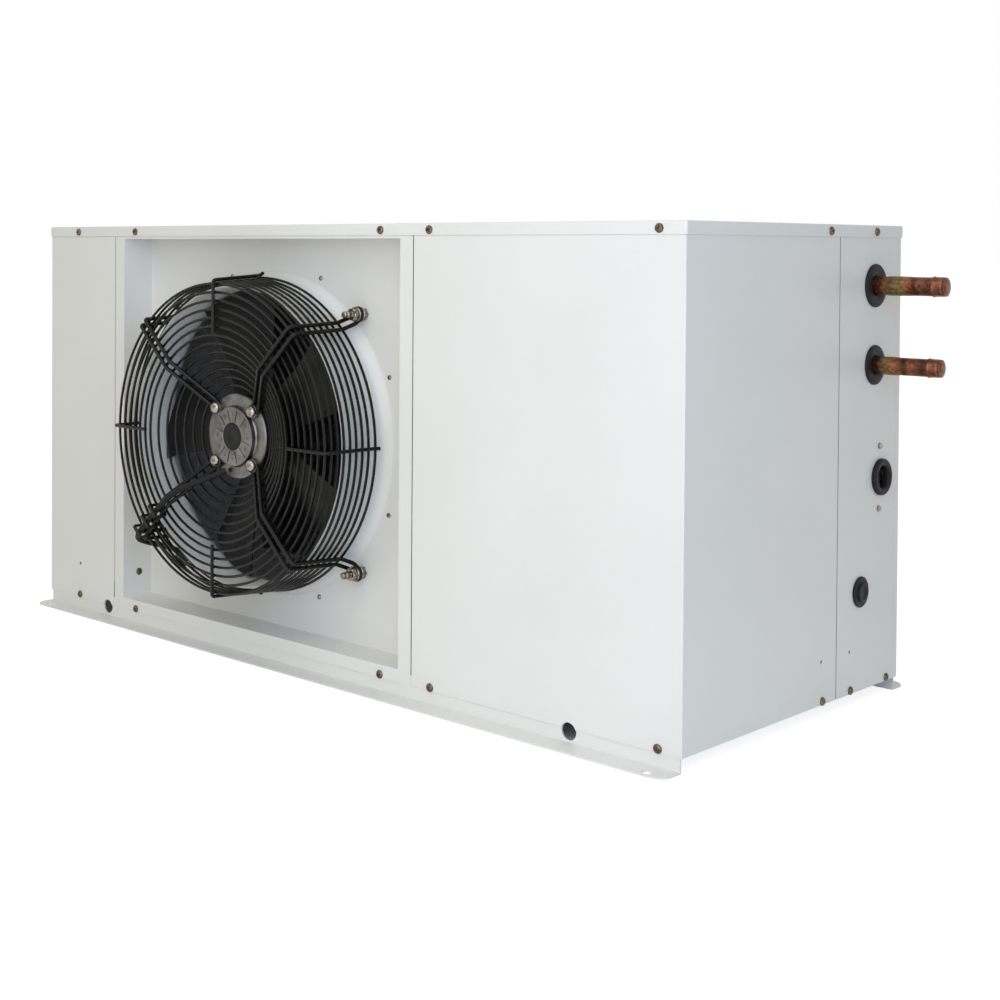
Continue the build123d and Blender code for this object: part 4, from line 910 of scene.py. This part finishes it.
# %% [markdown]
# The head itself is a low pan with a cross recess. The pan is turned, and the
# cross is cut by a boolean, once. The head then goes on every point, given a turn
# of its own, because no fitter stops all screws at the same angle.
# %% Screw heads
def pan_head(name, radius, height, cross):
    """A pan head on +Z with a cross recess, in millimetres."""
    outline = [(0, height), (radius * 0.45, height * 0.96), (radius * 0.78, height * 0.78)]
    outline += [(radius * 0.95, height * 0.46), (radius, height * 0.2), (radius, 0), (0, 0)]
    head = turned(name, outline, (0, 0, 0), (0, 0, 1), 20)
    arms = [
        box_mesh("cross", (-cross, -0.38, height * 0.42), (cross, 0.38, height + 1)),
        box_mesh("cross", (-0.38, -cross, height * 0.42), (0.38, cross, height + 1)),
    ]
    for cutter in arms:
        cut = head.modifiers.new("cross", "BOOLEAN")
        cut.operation = "DIFFERENCE"
        cut.object = cutter
        cut.solver = "EXACT"
    result = read_back(head, name)
    for cutter in arms:
        bpy.data.objects.remove(cutter)
    return result


def facing_points(name, places):
    """A mesh of points; each keeps the direction that its piece faces."""
    base = new_piece(name, [foot for foot, way in places])
    facing = base.data.attributes.new("facing", "FLOAT_VECTOR", "POINT")
    for item, (foot, way) in zip(facing.data, places):
        item.vector = way
    return base


def shape_input(tree, first):
    """One more input, an object; returns the socket that carries its shape."""
    tree.interface.new_socket("shape", in_out="INPUT", socket_type="NodeSocketObject")
    copied = step(tree, "GeometryNodeObjectInfo", {
        "Object": first.outputs["shape"], "As Instance": True,
    })
    return copied.outputs["Geometry"]


def scatter_tree():
    """The copied shape on every point, facing its way, with its own turn."""
    tree, first, last = new_tree("shape on points", turn_seed=3, most_turn=3.14)
    shape = shape_input(tree, first)
    facing = step(
        tree, "GeometryNodeInputNamedAttribute", {"Name": "facing"}, data_type="FLOAT_VECTOR",
    )
    aimed = step(
        tree, "FunctionNodeAlignRotationToVector", {"Vector": facing.outputs["Attribute"]},
        axis="Z",
    )
    turns = step(tree, "FunctionNodeRandomValue", {
        "Max": first.outputs["most_turn"], "Seed": first.outputs["turn_seed"],
    }, data_type="FLOAT")
    spin = step(tree, "FunctionNodeAxisAngleToRotation", {
        "Axis": (0, 0, 1), "Angle": turns.outputs[1],
    })
    both = step(tree, "FunctionNodeRotateRotation", {
        "Rotation": aimed.outputs["Rotation"], "Rotate By": spin.outputs["Rotation"],
    }, rotation_space="LOCAL")
    put = step(tree, "GeometryNodeInstanceOnPoints", {
        "Points": first.outputs["Geometry"], "Instance": shape,
        "Rotation": both.outputs["Rotation"],
    })
    end_tree(tree, first, last, put.outputs["Instances"])
    return tree


scatter = scatter_tree()


def scattered(name, shape, places, look):
    """One shape on many seats, as a single mesh; the shape itself is let go."""
    result = grown(
        name, scatter, facing_points("seed", places), look, shape=shape,
        turn_seed=3, most_turn=3.14,
    )
    bpy.data.objects.remove(shape)
    return result


head = pan_head("head", 4.6, cabinet_head, 2.3)
heads = scattered("pan_head_screws", head, screw_seats, finishes["yellow_zinc"])
place_piece(heads, "cabinet_screws", smooth=40)
mouth_seats = seats("nozzle_screws", mouth_head, (0, -1, 0))
head = pan_head("head", 2.9, mouth_head, 1.5)
small = scattered("bell_mouth_screws", head, mouth_seats, zinc_steel)
place_piece(small, "nozzle_screws", smooth=40)

# %% [markdown]
# Where two covers meet, the joint reads as a fine dark line. A strip of black
# rubber fills each joint and paints the shade that falls in the gap between the
# covers; it stands a quarter of a millimetre proud of the sheets.
# %% Painted shade in the joints
# Dark strips that paint the shade in the gaps between the covers.
painted_gap_shades = [
    box_mesh("seal", (162.6, -213.3, 27), (163.4, -212.9, 497)),
    box_mesh("seal", (-353.55, -213.25, 27), (-353.2, -212.9, 497)),
    box_mesh("seal", (494.9, 75.8, 17), (495.2, 76.35, 500)),
]
gap_shade_piece = joined("joint_seals", *painted_gap_shades)
only_finish(gap_shade_piece, black_rubber)
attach(gap_shade_piece, "housing")
print("seals:", len(painted_gap_shades))

# %% [markdown]
# At each eye of the guard a stud carries the arm between two nuts and washers. The
# stud's thread stands proud of the front nut, so it is modelled: a spiral with a
# small three sided section, round a core. The nuts are six sided bars with the
# chamfer that a lathe leaves on both ends.
# %% Studs, nuts and washers
def thread_tree():
    """A screw thread on each point: a spiral ridge along -Y."""
    tree, first, last = new_tree(
        "stud thread", radius=0.0037, pitch=0.00125, length=0.045, ridge=0.0005,
    )
    turns = step(tree, "ShaderNodeMath", {
        0: first.outputs["length"], 1: first.outputs["pitch"],
    }, operation="DIVIDE")
    spiral = step(tree, "GeometryNodeCurveSpiral", {
        "Resolution": 14, "Rotations": turns.outputs[0], "Start Radius": first.outputs["radius"],
        "End Radius": first.outputs["radius"], "Height": first.outputs["length"],
    })
    section = step(tree, "GeometryNodeCurvePrimitiveCircle", {
        "Resolution": 3, "Radius": first.outputs["ridge"],
    })
    ridge = step(tree, "GeometryNodeCurveToMesh", {
        "Curve": spiral.outputs["Curve"], "Profile Curve": section.outputs["Curve"],
        "Fill Caps": True,
    })
    laid = step(tree, "GeometryNodeTransform", {
        "Geometry": ridge.outputs["Mesh"], "Rotation": (-math.pi / 2, 0, 0),
    })
    put = step(tree, "GeometryNodeInstanceOnPoints", {
        "Points": first.outputs["Geometry"], "Instance": laid.outputs["Geometry"],
    })
    end_tree(tree, first, last, put.outputs["Instances"])
    return tree


stud_front, stud_back = 11.5, 56.5
seed = new_piece("seed", [around(stud_circle, a, stud_front + 0.8) for a in arm_angles])
ridges = grown(
    "ridges", thread_tree(), seed, zinc_steel,
    length=(stud_back - stud_front - 1.6) * MM, radius=3.55 * MM,
)
core = [(0, 11.5), (2.9, 11.5), (3.6, 12.2), (3.6, 55.8), (2.9, 56.5), (0, 56.5)]
cores = [turned("core", core, around(stud_circle, a, 0), fan_axis, 20) for a in arm_angles]
place_piece(joined("threaded_studs", ridges, *cores), "guard_studs", smooth=30)


def nut_block(name, origin, flats, start, stop, bore=4.05):
    """A six sided nut about an axis along +Y, chamfered at both ends."""
    corner_r = flats / 2 / math.cos(math.pi / 6)
    form = bmesh.new()
    steps = 24
    rows = []
    for place, depth in (
        ("hole", start), ("face", start), ("side", start + 0.7),
        ("side", stop - 0.7), ("face", stop), ("hole", stop),
    ):
        row = []
        for i in range(steps):
            a = 2 * math.pi * i / steps
            side = flats / 2 / math.cos((a % (math.pi / 3)) - math.pi / 6)
            radius = {"hole": bore, "face": flats / 2 * 0.96, "side": min(side, corner_r)}[place]
            offset = Vector((math.cos(a) * radius, depth, math.sin(a) * radius)) * MM
            row.append(form.verts.new(Vector(origin) + offset))
        rows.append(row)
    for low, high in zip(rows, rows[1:] + rows[:1]):
        for i in range(steps):
            j = (i + 1) % steps
            form.faces.new((low[i], low[j], high[j], high[i]))
    bmesh.ops.recalc_face_normals(form, faces=form.faces)
    return from_form(name, form)


nut_rows = ((23.65, 30.15), (39.1, 45.6), (48.0, 54.5))
nuts = [
    nut_block("nut", around(stud_circle, a, 0), 13, *row) for a in arm_angles for row in nut_rows
]
place_piece(joined("hex_nuts", *nuts), "guard_nuts", smooth=25)
washers = []
for a in arm_angles:
    for low, high in ((30.15, 31.75), (37.05, 39.1)):
        washer = [(4.3, low), (8.1, low), (8.5, low + 0.4)]
        washer += [(8.5, high - 0.4), (8.1, high), (4.3, high)]
        washers.append(turned("washer", washer, around(stud_circle, a, 0), fan_axis, 32))
place_piece(joined("flat_washers", *washers), "guard_washers", smooth=30)

# %% [markdown]
# The condenser coil is a stack of thin aluminium fins on copper tubes. Hundreds of
# fins would be slow as separate objects, and a picture of stripes would look flat
# from the back, so one fin with a few pressed waves is repeated along a line. It
# has only a few dozen faces, because it is repeated so often.
# %% Coil fins and tubes
core_low, core_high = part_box("coil_core")
fin_pitch, fin_sheet, fin_wave = 2.1 * MM, 0.16 * MM, 0.28 * MM


def fin(name, low, high):
    """One thin fin across the air's way, with shallow waves."""
    waves = 9
    points, faces = [], []
    for i in range(waves):
        y = low.y + (high.y - low.y) * i / (waves - 1)
        x = fin_wave * (1 if i % 2 else -1)
        points += [(x, y, low.z), (x, y, high.z)]
    for i in range(waves - 1):
        faces.append((2 * i, 2 * i + 2, 2 * i + 3, 2 * i + 1))
    return new_piece(name, points, faces)


def fin_row_tree():
    """The copied fin, repeated along X."""
    tree, first, last = new_tree("fin row", count=290, pitch=0.0021, start=-0.466)
    shape = shape_input(tree, first)
    begin = step(tree, "ShaderNodeCombineXYZ", {"X": first.outputs["start"]})
    stride = step(tree, "ShaderNodeCombineXYZ", {"X": first.outputs["pitch"]})
    line = step(tree, "GeometryNodeMeshLine", {
        "Count": first.outputs["count"], "Start Location": begin.outputs[0],
        "Offset": stride.outputs[0],
    }, mode="OFFSET")
    put = step(tree, "GeometryNodeInstanceOnPoints", {
        "Points": line.outputs["Mesh"], "Instance": shape,
    })
    end_tree(tree, first, last, put.outputs["Instances"])
    return tree


one_fin = thickened(fin("fin", core_low, core_high), fin_sheet, "one_fin")
fin_count = int((core_high.x - core_low.x - 0.002) / fin_pitch)
fins = grown(
    "fins", fin_row_tree(), new_piece("seed", [(0, 0, 0)]), finishes["fin_aluminium"],
    shape=one_fin, count=fin_count, pitch=fin_pitch, start=core_low.x + 0.001,
)
bpy.data.objects.remove(one_fin)
tube_pitch, tube_inset, tube_rows = 25.4 * MM, 11 * MM, []
for row, y in enumerate((core_low.y + tube_inset, core_high.y - tube_inset)):
    for k in range(18):
        z = core_low.z + 0.0155 + tube_pitch * k + (tube_pitch / 2 if row else 0.0)
        if z < core_high.z - 0.008:
            tube_rows.append([Vector((core_low.x, y, z)), Vector((core_high.x, y, z))])
tubes = bent_wires("tubes", tube_rows, 9.5, 1.0, copper)
place_piece(fins, "coil_core", smooth=None)
tubes.data.shade_smooth()
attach(tubes, "housing")
print("fins:", fin_count, "tubes:", len(tube_rows))

# %% [markdown]
# The motor's cable is clipped to the inner side of one guard arm, goes through a
# grommet in the recess and runs on the cabinet's floor to the control box. It is
# soft, so its route is a smooth spline through the same points as the CAD tube.
# %% Motor cable
cable_r = 3.6
cable_route = [
    around(44, 252, -20.9), around(60, 240, -38), around(92, 226, arm_depth(92) - 11.5),
    around(128, 225, -61), around(157, 225, -62), around(186.5, 225, -63), around(200, 225, -40),
    around(202, 228, -8), around(208, 230.5, 12), around(232, 229.5, 20),
    spot(-271, -187, 84), spot(-271, -145, 84), spot(-261, -120, 52), spot(-211, -119, 38),
    spot(-151, -121, 38), spot(-91, -119, 38), spot(-31, -121, 38), spot(29, -119, 38),
    spot(89, -121, 38), spot(140.2, -120, 38), spot(200.2, -121, 39), spot(201.2, -120, 99),
    spot(200.2, -119, 155), spot(200.2, -120, 199.7),
]
line = bpy.data.curves.new("cable line", "CURVE")
line.dimensions = "3D"
spline = line.splines.new("NURBS")
spline.points.add(len(cable_route) - 1)
for point, place in zip(spline.points, cable_route):
    point.co = (*place, 1.0)
spline.order_u = 3
spline.use_endpoint_u = True
line.resolution_u = 8
line.bevel_depth = cable_r * MM
line.bevel_resolution = 3
line.use_fill_caps = True
guide = bpy.data.objects.new("cable line", line)
bpy.context.scene.collection.objects.link(guide)
cable = read_back(guide, "motor_lead")
only_finish(cable, black_rubber)
place_piece(cable, "motor_cable", smooth=60)

# %% [markdown]
# Two copper stubs leave the right side: the suction line above and the liquid line
# below. They were brazed, so along its length each goes from bare copper through
# an oxidised brown to a yellowish patch where the flux and heat were. A colour
# ramp along X, made uneven by noise, follows that story. Some of its brighter
# bands are painted highlights, which make the tube lighter all round where the
# light caught it, not the copper's own colour.
# %% Brazed copper with painted highlights
def brazed_with_painted_highlights(name, start, stop, *tarnish_and_highlight_bands):
    """Copper whose colour changes along X from start to stop, in millimetres, with tarnish, braze
    and some painted highlights.
    """
    material, tree, shader, place = finish(name, 0.34, metal=0.85)
    parts = step(tree, "ShaderNodeSeparateXYZ", {"Vector": place})
    along = step(tree, "ShaderNodeMapRange", {
        "Value": parts.outputs["X"], "From Min": start * MM, "From Max": stop * MM,
    })
    wander = grain(tree, place, 9, detail=4)
    uneven = step(tree, "ShaderNodeMath", {
        0: wander, 1: 0.16, 2: along.outputs["Result"],
    }, operation="MULTIPLY_ADD")
    # the brighter bands are partly painted highlights, not only bare copper
    tarnish_and_highlight_bands = [(at + 0.08, paint(*shade)) for at, shade in tarnish_and_highlight_bands]
    dirty, clean = paint(120, 98, 84), paint(255, 250, 244)
    stain = step(tree, "ShaderNodeMix", {
        "Factor": 0.7, "A": shades(tree, uneven.outputs[0], *tarnish_and_highlight_bands),
        "B": shades(tree, grain(tree, place, 3.2, detail=5), (0.36, dirty), (0.6, clean)),
    }, data_type="RGBA", blend_type="MULTIPLY")
    calm = step(tree, "ShaderNodeHueSaturation", {
        "Saturation": 0.98, "Value": 0.7, "Color": stain.outputs["Result"],
    })
    tree.links.new(calm.outputs["Color"], shader.inputs["Base Color"])
    roughness(tree, shader, wander, 0.24, 0.46)
    relief(tree, shader, grain(tree, place, 1.6), 0.08)
    return material


# Some of the brighter stops below are painted highlights, not the copper's own colour.
upper_copper = brazed_with_painted_highlights(
    "suction stub copper", 495, 574, (0.0, (150, 88, 60)), (0.16, (176, 106, 72)),
    (0.24, (150, 128, 84)), (0.42, (176, 140, 92)), (0.52, (168, 98, 66)),
    (0.58, (84, 54, 42)), (0.64, (150, 88, 62)), (0.8, (118, 72, 56)),
)
lower_copper = brazed_with_painted_highlights(
    "liquid stub copper", 495, 570, (0.0, (172, 102, 70)), (0.1, (110, 68, 50)),
    (0.2, (186, 146, 96)), (0.36, (190, 124, 84)), (0.5, (96, 62, 48)),
    (0.58, (188, 116, 82)), (0.74, (104, 66, 52)), (0.85, (140, 84, 64)),
)
cap_copper = metal("cap copper", paint(132, 84, 66), paint(84, 54, 44), 0.3, 5, 0.9, 0.06)
print("made", upper_copper.name, lower_copper.name)

# %% [markdown]
# Each stub is a tube, a little swollen where it was brazed, and closed with a
# copper cap whose lip is rolled. They are turned about X.
# %% Pipe stubs and caps
pipe_way = (1, 0, 0)


def round_box(low, high):
    """For a round piece about X: its axis where X is nought, radius and both ends."""
    middle = Vector((0, (low.y + high.y) / 2, (low.z + high.z) / 2))
    return middle, (high.y - low.y) / 2 / MM, low.x / MM, high.x / MM


for stub, look, swell_start, swell_stop in (
    ("suction_stub", upper_copper, 512, 537), ("liquid_stub", lower_copper, 505, 524),
):
    middle, radius, start, tip = round_box(*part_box(stub))
    outline = [
        (radius - 1.0, 488), (radius - 0.2, 488), (radius, 488.6), (radius, swell_start - 2),
        (radius + 0.35, swell_start + 1), (radius + 0.45, (swell_start + swell_stop) / 2),
        (radius + 0.3, swell_stop - 2), (radius, swell_stop + 1),
        (radius, tip), (radius - 1.0, tip),
    ]
    tube = turned(stub + "_tube", outline, middle, pipe_way, 48)
    tube.data.materials.append(look)
    place_piece(tube, stub, smooth=40)

least_cap, cap_end = 5.0, 3.0
stub_ends = []
for low, high in loose_parts("stub_caps"):
    middle, radius, start, end = round_box(low, high)
    if high.x - low.x < least_cap * MM:
        continue
    inner, tip = radius - 0.75, end + cap_end
    outline = [
        (inner, start), (radius, start), (radius + 0.3, start + 0.9), (radius, start + 2.2),
        (radius - 0.4, start + 3.5), (radius - 0.4, tip - 6.5), (radius - 0.5, tip - 3.6),
        (radius - 1.6, tip - 1.5), (radius - 3.6, tip - 0.4), (radius - 6.5, tip),
        (0, tip), (0, tip - 1.2), (inner - 1.5, tip - 1.7), (inner, tip - 4),
    ]
    stub_ends.append(turned("cap", outline, middle, pipe_way, 48))
caps = joined("copper_caps", *stub_ends)
only_finish(caps, cap_copper)
place_piece(caps, "stub_caps", smooth=40)

# %% [markdown]
# Every hole in the right side has a rubber grommet, pushed in so that its lip lies
# on the sheet. The lip is round, not flat, which gives each grommet a thin light
# line on its upper edge. The blank hole has a plug of the same rubber.
# %% Grommets and plug
def grommet(name, node_name, hole):
    """A lipped rubber ring about X, inside the box of its CAD node."""
    middle, outer, back, front = round_box(*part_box(node_name))
    sheet = 495.0
    waist = outer - 3.2
    outline = [
        (hole, back + 0.6), (hole + 0.6, back), (outer - 0.8, back), (outer, back + 0.8),
        (outer, 493.4), (waist, 493.8), (waist, sheet), (outer - 0.6, sheet + 0.05),
        (outer, sheet + 0.8), (outer - 0.3, front - 1.0), (outer - 1.4, front - 0.15),
        ((outer + hole) / 2, front), (hole + 1.0, front - 0.4), (hole, front - 1.4),
    ]
    place_piece(turned(name, outline, middle, pipe_way, 64), node_name, smooth=50)


for pipe in ("suction", "liquid"):
    stub_radius = round_box(*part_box(pipe + "_stub"))[1]
    grommet(pipe + "_pipe_grommet", pipe + "_grommet", stub_radius + 0.15)
grommet("sight_hole_grommet", "sight_grommet", 12.5)

plug_middle = round_box(*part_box("blanking_plug"))[0]
plug = [
    (0, 491.8), (13.2, 491.8), (14.2, 492.6), (14.2, 493.6), (13.0, 494.0), (13.0, 495.0),
    (15.9, 495.1), (16.5, 495.8), (16.4, 496.6), (15.6, 497.3), (12.6, 497.5), (11.0, 497.0),
    (10.4, 497.4), (10.2, 499.2), (9.4, 499.9), (7.6, 500.0), (6.6, 499.2), (0, 499.0),
]
place_piece(turned("hole_plug", plug, plug_middle, pipe_way, 56), "blanking_plug", smooth=40)

# %% [markdown]
# The floor and the background are white paper. For the camera, and for rays that
# come off metal or through glass, the world is plain white; for everything else it
# is a soft even light. The floor adds a little of its own white for the camera, so
# it meets the background without a line and still keeps the unit's shadow. Under
# the unit it adds none, which keeps the openings in the base dark.
# %% Floor and background
def sums(tree, operation, one, other=0.0):
    """The outcome of one sum."""
    return step(tree, "ShaderNodeMath", {0: one, 1: other}, operation=operation).outputs[0]


def camera_only(tree):
    """One for rays of the camera, of a mirror or of glass, else nought."""
    path = step(tree, "ShaderNodeLightPath")
    total = path.outputs["Is Camera Ray"]
    for name in ("Is Glossy Ray", "Is Transmission Ray"):
        total = sums(tree, "MAXIMUM", total, path.outputs[name])
    return total


sky = bpy.data.worlds.new("studio")
bpy.context.scene.world = sky
sky.use_nodes = True
tree = sky.node_tree
soft = tree.nodes["Background"]
soft.inputs["Color"].default_value = (1.0, 0.95, 0.8, 1.0)
soft.inputs["Strength"].default_value = 0.43
white = step(tree, "ShaderNodeBackground", {"Color": (1, 1, 1, 1), "Strength": 1.0})
choose = step(tree, "ShaderNodeMixShader", {
    "Fac": camera_only(tree), 1: soft.outputs[0], 2: white.outputs[0],
})
tree.links.new(choose.outputs[0], tree.nodes["World Output"].inputs["Surface"])

reach = 55.0
corners = [(-reach, -reach, 0), (reach, -reach, 0), (reach, reach, 0), (-reach, reach, 0)]
floor = new_piece("floor", corners, [(0, 1, 2, 3)])
paper = bpy.data.materials.new("white paper")
paper.use_nodes = True
tree = paper.node_tree
matt = tree.nodes["Principled BSDF"]
matt.inputs["Base Color"].default_value = (0.86, 0.86, 0.86, 1)
matt.inputs["Roughness"].default_value = 0.9
matt.inputs["Specular IOR Level"].default_value = 0.1
here = step(tree, "ShaderNodeTexCoord")
split = step(tree, "ShaderNodeSeparateXYZ", {"Vector": here.outputs["Object"]})
under = []
for side, middle, half in (("X", -0.032, 0.462), ("Y", 0.0, 0.211)):
    away = sums(tree, "ABSOLUTE", sums(tree, "SUBTRACT", split.outputs[side], middle))
    under.append(sums(tree, "LESS_THAN", away, half))
open_floor = sums(tree, "SUBTRACT", 1.0, sums(tree, "MULTIPLY", *under))
seen_open = sums(tree, "MULTIPLY", camera_only(tree), open_floor)
own_white = 0.74
glow = step(tree, "ShaderNodeEmission", {
    "Color": (1, 1, 1, 1), "Strength": sums(tree, "MULTIPLY", seen_open, own_white),
})
both = step(tree, "ShaderNodeAddShader", {0: matt.outputs[0], 1: glow.outputs[0]})
tree.links.new(both.outputs[0], tree.nodes["Material Output"].inputs["Surface"])
floor.data.materials.append(paper)
print("floor:", 2 * reach, "m wide")

# %% [markdown]
# Three soft lamps light it. One hangs above and brightens the lid; the key lamp is
# low, near the right of the front, which is why the white sheet grows darker towards
# the left; a cool one looks at the right side, which is why that side reads blue grey.
# %% Lamps
def soft_lamp(name, stand, look_at, width, height, watts, colour):
    """A large area lamp that faces a point; places in millimetres."""
    lamp = bpy.data.lights.new(name, "AREA")
    lamp.shape = "RECTANGLE"
    lamp.size, lamp.size_y = width, height
    lamp.energy = watts
    lamp.color = colour
    holder = bpy.data.objects.new(name, lamp)
    bpy.context.scene.collection.objects.link(holder)
    holder.location = spot(*stand)
    aim = spot(*look_at) - holder.location
    holder.rotation_euler = aim.to_track_quat("-Z", "Y").to_euler()


soft_lamp("top lamp", (300, -1500, 1900), (-100, -190, 250), 1.6, 1.2, 9, (1.0, 1.0, 0.98))
soft_lamp("key lamp", (750, -1400, 600), (300, -213, 250), 0.9, 0.9, 5.8, (1.0, 0.99, 1.0))
soft_lamp("side lamp", (2000, -1400, 900), (495, 0, 250), 1.4, 1.4, 13, (0.34, 0.58, 1.0))

bpy.context.scene.view_settings.view_transform = "Standard"
print("lamps:", len(bpy.data.lights))
